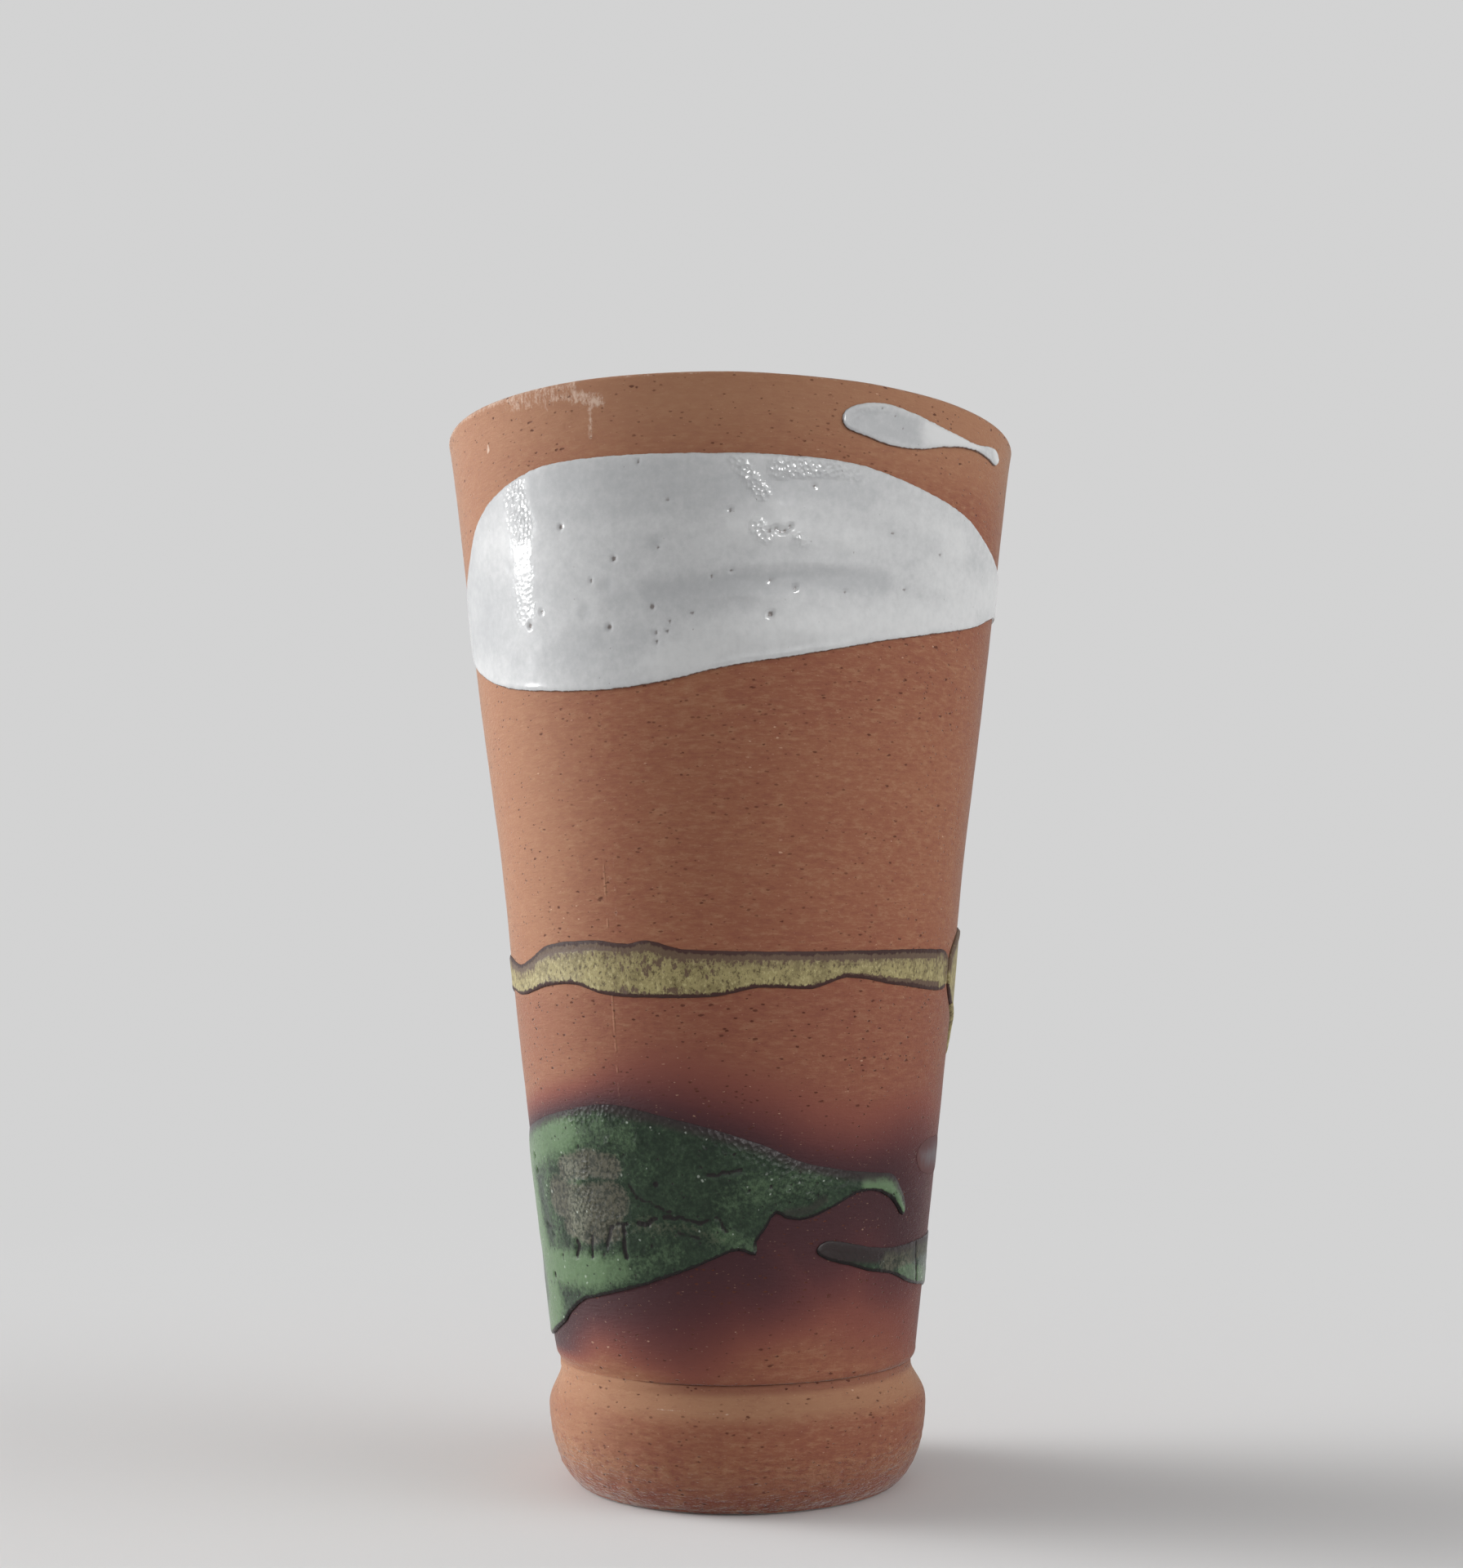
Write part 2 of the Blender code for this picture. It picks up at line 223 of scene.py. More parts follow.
def smooth_loop(corners: Sequence[Vector], step: float) -> list[Vector]:
    """A closed curve through the corners.

    Args:
        corners: the points that it passes.
        step: about how far apart the curve's own points are.

    Returns:
        The points of the curve.
    """
    points = []
    count = len(corners)
    for i in range(count):
        before, start = corners[i - 1], corners[i]
        end, after = corners[(i + 1) % count], corners[(i + 2) % count]
        span = (end - start).length
        leave = (end - before) * span / max(span, (end - before).length)
        arrive = (after - start) * span / max(span, (after - start).length)
        steps = max(1, round(span / step))
        for k in range(steps):
            t = k / steps
            points.append(
                start * (2 * t**3 - 3 * t**2 + 1)
                + leave * (t**3 - 2 * t**2 + t)
                + end * (3 * t**2 - 2 * t**3)
                + arrive * (t**3 - t**2)
            )
    return points


def near_tree(points: Sequence[Vector]) -> kdtree.KDTree:
    """Sorts points so that the nearest ones are found fast.

    Args:
        points: what to find.

    Returns:
        The tree that holds them, each under its number.
    """
    tree = kdtree.KDTree(len(points))
    for i, point in enumerate(points):
        tree.insert(point, i)
    tree.balance()
    return tree


def turned(section: Sequence[Place], steps: int, on_axis: bool = False) -> bmesh.types.BMesh:
    """Spins an outline round Z.

    Args:
        section: points (r, z). An outline on the axis starts and ends there.
        steps: how many facets go round.
        on_axis: whether the outline touches the axis.

    Returns:
        The closed shape.
    """
    bm = bmesh.new()
    verts = [bm.verts.new((0.0, -r, z)) for r, z in section]
    edges = [bm.edges.new(pair) for pair in zip(verts, verts[1:])]
    if not on_axis:
        edges.append(bm.edges.new((verts[-1], verts[0])))
    bmesh.ops.spin(
        bm,
        geom=verts + edges,
        cent=(0.0, 0.0, 0.0),
        axis=(0.0, 0.0, 1.0),
        angle=2.0 * math.pi,
        steps=steps,
        use_merge=True,
    )
    bmesh.ops.remove_doubles(bm, verts=bm.verts[:], dist=TINY)
    bmesh.ops.recalc_face_normals(bm, faces=bm.faces[:])
    return bm


def make_object(
    name: str, bm: bmesh.types.BMesh, material: bpy.types.Material
) -> bpy.types.Object:
    """Puts a shape in the scene.

    Args:
        name: what the object is called.
        bm: its shape, which is freed.
        material: its finish.

    Returns:
        The object, at the origin.
    """
    mesh = bpy.data.meshes.new(name)
    bm.to_mesh(mesh)
    bm.free()
    mesh.materials.append(material)
    made = bpy.data.objects.new(name, mesh)
    bpy.context.scene.collection.objects.link(made)
    return made


def make_piece(
    name: str, bm: bmesh.types.BMesh, material: bpy.types.Material, node: str
) -> bpy.types.Object:
    """Turns a shape into a piece that stands for one solid of the pot.

    Args:
        name: what the piece is called.
        bm: its shape, which is freed.
        material: its finish, named after the record's material slot.
        node: the solid that it replaces.

    Returns:
        The piece, riding on the pot's one body.
    """
    piece = make_object(name, bm, material)
    piece.data.shade_smooth()
    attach(piece, BODY)
    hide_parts(node)
    log.info("%s: %d faces", name, len(piece.data.polygons))
    return piece


def write_traits(piece: bpy.types.Object, **traits: Sequence[float]) -> None:
    """Stores numbers for each vertex, which the piece's material reads by their names."""
    for name, values in traits.items():
        piece.data.attributes.new(name, "FLOAT", "POINT").data.foreach_set("value", values)


# --------------------------------------------------------------------- finishes


class Flow:
    """An output in a shader tree. Sums written with it become nodes."""

    def __init__(self, wiring: Wiring, socket: bpy.types.NodeSocket) -> None:
        """Takes the tree's wiring and the output."""
        self.wiring = wiring
        self.socket = socket

    def __add__(self, other: Flow | float) -> Flow:
        """The sum."""
        return self.wiring.math("ADD", self, other)

    def __sub__(self, other: Flow | float) -> Flow:
        """The difference."""
        return self.wiring.math("SUBTRACT", self, other)

    def __rsub__(self, other: float) -> Flow:
        """What is left of a number without it."""
        return self.wiring.math("SUBTRACT", other, self)

    def __mul__(self, other: Flow | float) -> Flow:
        """The product."""
        return self.wiring.math("MULTIPLY", self, other)

    __radd__, __rmul__ = __add__, __mul__

    def most(self, other: Flow | float) -> Flow:
        """The larger of two."""
        return self.wiring.math("MAXIMUM", self, other)

    def least(self, other: Flow | float) -> Flow:
        """The smaller of two."""
        return self.wiring.math("MINIMUM", self, other)

    def swing(self, share: float) -> Flow:
        """How far a pattern is from its middle value, times a share."""
        return (self - 0.5) * share

    def ease(self, low: float, high: float, top: float = 1.0) -> Flow:
        """Rises smoothly from 0 at low to top at high."""
        ends = {"Value": self, "From Min": low, "From Max": high, "To Min": 0.0, "To Max": top}
        return self.wiring.put("MapRange", ends, "Result", interpolation_type="SMOOTHSTEP")

    def out(self, name: int | str) -> Flow:
        """Another output of the same node."""
        return Flow(self.wiring, self.socket.node.outputs[name])


class Wiring:
    """Places shader nodes in one tree and links them."""

    def __init__(self, tree: bpy.types.NodeTree) -> None:
        """Starts on a tree."""
        self.tree = tree

    def plug(self, node: bpy.types.Node, inputs: dict[Any, Any]) -> None:
        """Fills a node's inputs.

        Args:
            node: the node.
            inputs: a flow or a value by input name or number.
        """
        for key, value in inputs.items():
            if isinstance(value, Flow):
                self.tree.links.new(value.socket, node.inputs[key])
            else:
                node.inputs[key].default_value = value

    def put(
        self, kind: str, inputs: dict[Any, Any], output: int | str = 0, **settings: Any
    ) -> Flow:
        """Adds one node.

        Args:
            kind: the node's type, without "ShaderNode" before it.
            inputs: a flow or a value by input name or number.
            output: the output that is wanted.
            settings: the node's own options.

        Returns:
            That output.
        """
        node = self.tree.nodes.new("ShaderNode" + kind)
        for option, value in settings.items():
            setattr(node, option, value)
        self.plug(node, inputs)
        return Flow(self, node.outputs[output])

    def math(self, operation: str, first: Any, second: Any = 0.0) -> Flow:
        """One sum on numbers."""
        return self.put("Math", {0: first, 1: second}, operation=operation)

    def vector(self, operation: str, inputs: dict[Any, Any], output: int | str = 0) -> Flow:
        """One sum on vectors."""
        return self.put("VectorMath", inputs, output, operation=operation)

    def stretch(self, place: Flow, across: float, up: float) -> Flow:
        """Scales a place sideways and upwards, so a pattern runs round the pot."""
        return self.vector("MULTIPLY", {0: place, 1: (across, across, up)})

    def cloud(self, place: Flow, scale: float, detail: float = 2.0, rough: float = 0.5) -> Flow:
        """Soft noise between 0 and 1."""
        looks = {"Vector": place, "Scale": scale, "Detail": detail, "Roughness": rough}
        return self.put("TexNoise", looks, "Fac")

    def flecks(self, place: Flow, across: float, up: float, detail: float, rough: float) -> Flow:
        """Noise with its own scales sideways and upwards."""
        return self.cloud(self.stretch(place, across, up), 1.0, detail, rough)

    def layers(self, base: Flow | Colour, *coats: tuple[Flow, Flow | Colour]) -> Flow:
        """Lays colours over a base, one after another.

        Args:
            base: what lies under all.
            coats: how much each colour covers, and the colour.

        Returns:
            The colour that shows.
        """
        for share, coat in coats:
            inputs = {0: share}
            for key, colour in ((6, base), (7, coat)):
                inputs[key] = (*colour, 1.0) if isinstance(colour, tuple) else colour
            base = self.put("Mix", inputs, 2, data_type="RGBA", blend_type="MIX")
        return base

    def traits(self, *names: str) -> list[Flow]:
        """Numbers stored on the piece's vertices."""
        return [self.put("Attribute", {}, "Fac", attribute_name=name) for name in names]

    def position(self) -> Flow:
        """The place on the piece, in metres."""
        return self.put("TexCoord", {}, "Object")

    def effect(self, group: bpy.types.NodeTree, place: Flow, **numbers: Flow | float) -> Flow:
        """Places a shared effect with its own numbers, and gives its first output."""
        return self.put("Group", {"Vector": place, **numbers}, node_tree=group)


class Effects:
    """The shader effects that more than one finish uses, each a group that is built once."""

    def __init__(self) -> None:
        """Builds the groups."""
        self.grog = self.group("grog", self.wire_grog, "Scale", "Share", "Size")
        self.turning = self.group("turning", self.wire_turning, "Fineness")
        self.skin = self.group("gloss_skin", self.wire_skin, "Waves", "Peel", "Broken")

    @staticmethod
    def group(
        name: str, wire: Callable[..., dict[str, Flow]], *numbers: str
    ) -> bpy.types.NodeTree:
        """Builds one group.

        Args:
            name: what it is called.
            wire: takes the group's wiring, its place and its numbers, and gives its outputs.
            numbers: its inputs after the place.

        Returns:
            The group.
        """
        tree = bpy.data.node_groups.new(name, "ShaderNodeTree")
        new_socket = tree.interface.new_socket
        new_socket("Vector", in_out="INPUT", socket_type="NodeSocketVector")
        for label in numbers:
            new_socket(label, in_out="INPUT", socket_type="NodeSocketFloat")
        wiring = Wiring(tree)
        start = tree.nodes.new("NodeGroupInput")
        flows = [Flow(wiring, start.outputs[label]) for label in ("Vector", *numbers)]
        outputs = wire(wiring, *flows)
        for label in outputs:
            new_socket(label, in_out="OUTPUT", socket_type="NodeSocketFloat")
        wiring.plug(tree.nodes.new("NodeGroupOutput"), outputs)
        return tree

    @staticmethod
    def wire_grog(
        wiring: Wiring, place: Flow, scale: Flow, share: Flow, size: Flow
    ) -> dict[str, Flow]:
        """Scattered grains.

        Args:
            wiring: the group's wiring.
            place: where on the piece.
            scale: how many cells there are to a metre.
            share: the share of the cells that hold a grain.
            size: the size of a grain in its cell.

        Returns:
            A mask of the grains.
        """
        place = wiring.vector("SCALE", {0: place, "Scale": scale})
        shift = wiring.put("TexNoise", {"Vector": place, "Scale": 4.0}, "Color")
        shift = wiring.vector("SCALE", {0: shift, "Scale": 0.28})
        place = wiring.vector("ADD", {0: place, 1: shift})
        cells = wiring.put("TexVoronoi", {"Vector": place, "Scale": 1.0}, "Distance")
        lot = wiring.put("SeparateColor", {"Color": cells.out("Color")})
        chosen = wiring.math("LESS_THAN", lot, share)
        reach = size * 0.5 + size * lot.out(1)
        return {"Mask": chosen * wiring.math("DIVIDE", cells, reach).ease(1.0, 0.55)}

    @staticmethod
    def wire_turning(wiring: Wiring, place: Flow, fineness: Flow) -> dict[str, Flow]:
        """Fine lines that run round the pot, from the rib and the sponge.

        Args:
            wiring: the group's wiring.
            place: where on the piece.
            fineness: how fine the lines are.

        Returns:
            Their height and their tone.
        """
        lines = wiring.stretch(place, 150.0, 1000.0)
        lines = wiring.vector("SCALE", {0: lines, "Scale": fineness})
        fine, broad = wiring.cloud(lines, 2.3, 4.0, 0.7), wiring.cloud(lines, 0.32)
        return {"Height": broad * 0.5 + fine, "Tone": broad * 0.2 + fine * 0.8}

    @staticmethod
    def wire_skin(
        wiring: Wiring, place: Flow, waves: Flow, peel: Flow, broken: Flow
    ) -> dict[str, Flow]:
        """The skin of melted glass.

        Args:
            wiring: the group's wiring.
            place: where on the piece.
            waves: how much it rolls in slow waves.
            peel: how much orange peel it has.
            broken: how much it is broken up.

        Returns:
            Its height.
        """
        chips = wiring.put("TexVoronoi", {"Vector": place, "Scale": 1100.0}, "Distance")
        rolls, pores = wiring.cloud(place, 170.0, 1.0), wiring.cloud(place, 900.0)
        return {"Height": rolls * waves + pores * peel + chips * broken}


class Slot(Enum):
    """The record's material slots."""

    CLAY = "fired_clay"
    LINING = "clear_lining_glaze"
    WHITE = "white_glaze"
    OCHRE = "ochre_glaze"
    GREEN = "green_glaze"
    BLUE_GREY = "blue_grey_glaze"


class Surface(NamedTuple):
    """What a finish gives its shader: a colour, a height that becomes bumps, and a roughness."""

    colour: Flow
    height: Flow
    roughness: Flow | float


@dataclass(frozen=True)
class Finish:
    """What all finishes share: how rough and shiny they are, and how deep their bumps."""

    roughness: float = 0.5
    specular: float = 0.5
    skin_depth: float = 0.0001

    def material(self, slot: Slot, effects: Effects) -> bpy.types.Material:
        """Makes the finish of a slot.

        Args:
            slot: the slot that names it.
            effects: the shared effects.

        Returns:
            The material.
        """
        old = bpy.data.materials.get(slot.value)
        if old is not None:
            old.name = slot.value + "_solid"
        material = bpy.data.materials.new(slot.value)
        material.use_nodes = True
        wiring = Wiring(material.node_tree)
        surface = self.surface(wiring, wiring.position(), effects)
        relief = {"Height": surface.height, "Distance": self.skin_depth, "Strength": 1.0}
        inputs = {
            "Base Color": surface.colour,
            "Roughness": surface.roughness,
            "Normal": wiring.put("Bump", relief, "Normal"),
            **self.constants(),
        }
        wiring.plug(material.node_tree.nodes["Principled BSDF"], inputs)
        return material

    def constants(self) -> dict[str, Any]:
        """The shader's inputs that are the same all over."""
        return {"Specular IOR Level": self.specular}

    def surface(self, wiring: Wiring, place: Flow, effects: Effects) -> Surface:
        """The looks of the surface where they change over it, which each finish wires."""
        raise NotImplementedError


@dataclass(frozen=True)
class ClayFinish(Finish):
    """Bare fired clay: warm, matte, lined by turning, with grog, dust and kiln fuming, and with
    painted light and shade.
    """

    body: Colour = (0.283, 0.1135, 0.0625)
    ruddy: Colour = (0.250, 0.090, 0.052)
    sandy: Colour = (0.378, 0.203, 0.116)
    burnt: Colour = (0.205, 0.064, 0.044)
    pale_grog: Colour = (0.58, 0.36, 0.24)
    dark_grog: Colour = (0.094, 0.026, 0.014)
    dust: Colour = (0.58, 0.43, 0.34)
    flashed: Colour = (0.204, 0.065, 0.047)
    fumed: Colour = (0.098, 0.0295, 0.0295)
    smoked: Colour = (0.050, 0.0175, 0.021)
    roughness: float = 0.80
    specular: float = 0.20
    skin_depth: float = 0.00013
    sheen: float = 0.55
    sheen_roughness: float = 0.22
    sheen_tint: Colour = (0.80, 0.91, 0.91)
    seam_turn: float = -29.0

    def constants(self) -> dict[str, Any]:
        """Adds the dusty sheen to the shader's inputs that are the same all over.

        Returns:
            The inputs by name.
        """
        return {
            "Specular IOR Level": self.specular,
            "Sheen Weight": self.sheen,
            "Sheen Roughness": self.sheen_roughness,
            "Sheen Tint": (*self.sheen_tint, 1.0),
        }

    def surface(self, wiring: Wiring, place: Flow, effects: Effects) -> Surface:
        """Wires the clay: its mottle, its marks of turning, its wear, its fuming, its grog, and its
        painted light and shade.

        Args:
            wiring: the material's wiring.
            place: where on the pot.
            effects: the shared effects.

        Returns:
            The looks of the clay.
        """
        pale, burnt, rough, fuming, worn = wiring.traits("pale", "burnt", "rough", "fuming", "worn")
        lines = wiring.effect(effects.turning, place, Fineness=1.0)
        drift = wiring.flecks(place, 22.0, 34.0, 4.0, 0.6)
        mottle = wiring.flecks(place, 420.0, 1100.0, 4.0, 0.75)
        flakes = wiring.flecks(place, 430.0, 1300.0, 3.0, 0.65)
        worn = worn * wiring.flecks(place, 1250.0, 620.0, 4.0, 0.8)
        lively = burnt.most(rough) * 0.5 + 1.0
        grain = (
            ((cloud.ease(low, high, share) * lively).least(1.0), tint)
            for cloud, low, high, share, tint in (
                (lines.out("Tone"), 0.52, 0.66, 0.34, self.sandy),
                (lines.out("Tone"), 0.47, 0.33, 0.36, self.burnt),
                (mottle, 0.5, 0.68, 0.4, self.sandy),
                (mottle, 0.5, 0.34, 0.42, self.burnt),
            )
        )
        chipped = flakes * rough
        ragged = fuming + drift.swing(0.10)
        grains = wiring.stretch(place, 0.9, 1.9)
        pale_grog, fine_pale, dark_grog, fine_dark = (
            wiring.effect(effects.grog, grains, Scale=scale, Share=share, Size=size)
            for scale, share, size in (
                (430.0, 0.45, 0.10),
                (950.0, 0.45, 0.14),
                (300.0, 0.85, 0.115),
                (560.0, 0.95, 0.16),
            )
        )
        pale_grog = pale_grog * wiring.cloud(place, 55.0, 3.0, 0.6).ease(0.42, 0.62)
        seam = self.seam(wiring, place)
        colour = wiring.layers(
            self.body,
            (drift.ease(0.38, 0.66, 0.75), self.ruddy),
            *grain,
            # Painted light: the pale trait lightens the lit left flanks, the lip and the foot's
            # shoulder, besides pale patches and the smeared joint.
            (pale * 0.7, self.sandy),
            # This trait holds ruddy zones, and also painted shade in the foot's crease and towards
            # its base.
            (burnt * 0.5, self.burnt),
            (chipped.ease(0.5, 0.64, 0.32), self.sandy),
            (flakes.ease(0.46, 0.34, 0.75) * rough, self.burnt),
            (ragged.ease(0.0, 0.5), self.flashed),
            (ragged.ease(0.34, 0.86), self.fumed),
            (ragged.ease(0.72, 1.02), self.smoked),
            (worn.ease(0.36, 0.6, 0.8), self.dust),
            (pale_grog * 0.7, self.pale_grog),
            (fine_pale * 0.25, self.pale_grog),
            (dark_grog * 0.85, self.dark_grog),
            (fine_dark * (burnt * 0.5 + 0.6), self.dark_grog),
            (seam * 0.3, self.sandy),
        )
        height = lines
        for bumps, share in (
            (mottle, 0.9),
            (wiring.cloud(place, 1900.0, 3.0, 0.7), 0.5),
            (chipped, 3.2),
            (dark_grog, -0.5),
            (fine_dark, -0.5),
            (pale_grog, 0.5),
            (worn, 0.6),
            (seam, 0.5),
        ):
            height = height + bumps * share
        return Surface(colour, height * lively, self.roughness - fuming.ease(0.3, 1.0, 0.12))

    def seam(self, wiring: Wiring, place: Flow) -> Flow:
        """A faint upright scratch at the middle of the wall.

        Args:
            wiring: the clay's wiring.
            place: the position on the pot.

        Returns:
            A mask that is 1 along the scratch.
        """
        turn = math.radians(self.seam_turn)
        sideways, ahead = (
            wiring.vector("DOT_PRODUCT", {0: place, 1: toward}, "Value")
            for toward in (
                (math.cos(turn), math.sin(turn), 0.012),
                (math.sin(turn), -math.cos(turn), 0.0),
            )
        )
        height = wiring.put("SeparateXYZ", {"Vector": place}, "Z")
        line = wiring.math("ABSOLUTE", sideways).ease(0.0003, 0.00008) * ahead.ease(0.02, 0.03)
        patchy = wiring.cloud(place, 500.0).ease(0.4, 0.6)
        return line * patchy * (height.ease(0.072, 0.078) * height.ease(0.122, 0.112))


@dataclass(frozen=True)
class LiningFinish(Finish):
    """Clear glaze over the brown clay inside."""

    thick: Colour = (0.16, 0.058, 0.034)
    thin: Colour = (0.27, 0.108, 0.062)
    roughness: float = 0.12
    skin_depth: float = 0.00005

    def surface(self, wiring: Wiring, place: Flow, effects: Effects) -> Surface:
        """Wires the lining, which shows the turning through it.

        Args:
            wiring: the material's wiring.
            place: where on the lining.
            effects: the shared effects.

        Returns:
            The looks of the lining.
        """
        tone = wiring.effect(effects.turning, place, Fineness=0.5).out("Tone")
        colour = wiring.layers(self.thick, (tone.ease(0.3, 0.7), self.thin))
        skin = wiring.effect(effects.skin, place, Waves=1.5, Peel=0.15, Broken=0.0)
        return Surface(colour, skin, self.roughness)


@dataclass(frozen=True)
class WhiteFinish(Finish):
    """Milky white gloss, a little greyer where it is thin, with pinholes and a painted shadow line
    under its lower edges.
    """

    thick: Colour = (0.608, 0.612, 0.612)
    thin: Colour = (0.400, 0.406, 0.415)
    pinhole: Colour = (0.20, 0.17, 0.16)
    flux_line_and_shadow: Colour = (0.11, 0.055, 0.038)
    roughness: float = 0.14
    skin_depth: float = 0.00006

    def surface(self, wiring: Wiring, place: Flow, effects: Effects) -> Surface:
        """Wires the white glaze.

        Args:
            wiring: the material's wiring.
            place: where on the coat.
            effects: the shared effects.

        Returns:
            The looks of the white.
        """
        pooled, thin, pit, border, under, rippled = wiring.traits(
            "pooled", "thin", "pit", "border", "under", "rippled"
        )
        drift = wiring.flecks(place, 75.0, 150.0, 4.0, 0.6)
        coat = pooled - thin + drift.swing(1.1) + wiring.cloud(place, 650.0, 4.0, 0.7).swing(1.6)
        specks = wiring.effect(effects.grog, place, Scale=420.0, Share=0.6, Size=0.05)
        colour = wiring.layers(
            self.thin,
            (coat.ease(-1.15, 1.15), self.thick),
            (specks * 0.5, self.pinhole),
            (pit.ease(0.05, 0.5, 0.35), self.thin),
            (pit.ease(0.3, 0.85, 0.9), self.pinhole),
            # Painted shadow: a thin dark line under the lower edges, partly a dark flux line.
            (border.ease(0.24, 0.08) * under.ease(0.3, 0.8), self.flux_line_and_shadow),
        )
        skin = wiring.effect(effects.skin, place, Waves=0.9, Peel=0.16, Broken=rippled * 2.4)
        return Surface(colour, skin - specks * 0.7, self.roughness)


@dataclass(frozen=True)
class OchreFinish(Finish):
    """Yellow-olive and crystalline, with a thin grey upper edge and a dark outline."""

    middle: Colour = (0.308, 0.260, 0.116)
    shade: Colour = (0.180, 0.144, 0.062)
    fleck: Colour = (0.48, 0.42, 0.21)
    pepper: Colour = (0.060, 0.036, 0.018)
    thin: Colour = (0.098, 0.056, 0.039)
    outline: Colour = (0.044, 0.017, 0.014)
    roughness: float = 0.5
    specular: float = 0.22
    skin_depth: float = 0.00010

    def surface(self, wiring: Wiring, place: Flow, effects: Effects) -> Surface:
        """Wires the ochre glaze, feathered along its edges.

        Args:
            wiring: the material's wiring.
            place: where on the coat.
            effects: the shared effects.

        Returns:
            The looks of the ochre.
        """
        border, under, thin, pooled = wiring.traits("border", "under", "thin", "pooled")
        crystals = wiring.flecks(place, 1500.0, 1000.0, 4.0, 0.72)
        fringe = wiring.flecks(place, 900.0, 520.0, 3.0, 0.6)
        feathered = fringe.swing(6.5) + crystals.swing(4.5)
        upper = under.ease(0.75, 0.35)
        strip = (border + feathered).ease(1.85, 1.35) * upper
        fading = (border + feathered * 0.6).ease(3.6, 1.2, 0.6) * upper
        marked = (thin + feathered * 0.3).ease(0.4, 0.6)
        edge = border + feathered * 0.22 + pooled * 2.0
        colour = wiring.layers(
            self.middle,
            (wiring.cloud(place, 330.0, 3.0, 0.6).ease(0.42, 0.66, 0.8), self.shade),
            (crystals.ease(0.53, 0.64, 0.7), self.fleck),
            (crystals.ease(0.45, 0.38, 0.8), self.pepper),
            (strip.most(fading).most(marked) * 0.92, self.thin),
            (edge.ease(0.85, 0.5), self.outline),
        )
        skin = wiring.effect(effects.skin, place, Waves=0.3, Peel=0.6, Broken=0.2)
        return Surface(colour, skin + crystals * 1.2, self.roughness)


@dataclass(frozen=True)
class GreenFinish(Finish):
    """Copper green: light where it pooled, dark where it is thin, dry and brown in one patch."""

    light: Colour = (0.104, 0.168, 0.086)
    mid: Colour = (0.030, 0.054, 0.029)
    deep: Colour = (0.011, 0.022, 0.012)
    dry: Colour = (0.080, 0.074, 0.050)
    dry_dark: Colour = (0.026, 0.027, 0.018)
    chalky: Colour = (0.175, 0.172, 0.130)
    smoke: Colour = (0.028, 0.016, 0.018)
    crawl_and_shadow: Colour = (0.009, 0.006, 0.006)
    painted_glint: Colour = (0.62, 0.68, 0.60)
    roughness: float = 0.27
    dry_roughness: float = 0.22
    specular: float = 0.24
    skin_depth: float = 0.00009

    def surface(self, wiring: Wiring, place: Flow, effects: Effects) -> Surface:
        """Wires the green glaze: pools, the dry patch, painted glints, smoke, its edge with a
        painted shadow line, and its crawls.

        Args:
            wiring: the material's wiring.
            place: where on the coat.
            effects: the shared effects.

        Returns:
            The looks of the green.
        """
        pooled, thin, rippled, under, border, smoked, pit = wiring.traits(
            "pooled", "thin", "rippled", "under", "border", "smoked", "pit"
        )
        drift = wiring.cloud(place, 190.0, 4.0, 0.6)
        fine = wiring.cloud(place, 1250.0, 4.0, 0.7)
        mottle = drift.swing(0.85) + fine.swing(1.6)
        pooled = pooled + mottle * 0.95
        dry = (thin + mottle * 1.1).ease(0.3, 0.95)
        scales = wiring.layers(
            self.dry_dark,
            (fine.ease(0.42, 0.56), self.dry),
            (pooled.ease(0.0, 1.3, 0.8) * fine.ease(0.4, 0.6), self.chalky),
        )
        pepper, crystals = (
            wiring.effect(effects.grog, place, Scale=scale, Share=share, Size=size)
            for scale, share, size in ((620.0, 0.8, 0.14), (600.0, 1.0, 0.13))
        )
        # Painted glints: pale specks where the surface would sparkle, and along the rippled marks.
        crystals = crystals * drift.ease(0.46, 0.6, 0.5).most(rippled)
        veil = (border + mottle * 1.2).ease(2.2, 0.2) * under.ease(0.6, 0.2)
        veil = veil.most((smoked + mottle * 0.5).ease(0.2, 1.0))
        # Painted shadow: a dark line along the lower edges, partly the dark bead where the glaze
        # ran down.
        line = (border + mottle * 0.3).ease(0.7, 0.35) * under.ease(0.35, 0.6)
        colour = wiring.layers(
            self.deep,
            (mottle.ease(-0.3, 0.34), self.mid),
            (pooled.ease(0.05, 1.2), self.light),
            (dry * 0.88, scales),
            (pepper * 0.7, self.crawl_and_shadow),
            (crystals * 0.9, self.painted_glint),
            (veil * 0.92, self.smoke),
            (line, self.crawl_and_shadow),
            ((pit + mottle * 0.9).ease(0.3, 0.62, 0.95), self.crawl_and_shadow),
        )
        broken = rippled * 3.0 + 0.35
        skin = wiring.effect(effects.skin, place, Waves=0.8, Peel=1.1, Broken=broken)
        height = skin - pepper + fine * 0.9
        return Surface(colour, height, dry * self.dry_roughness + self.roughness)


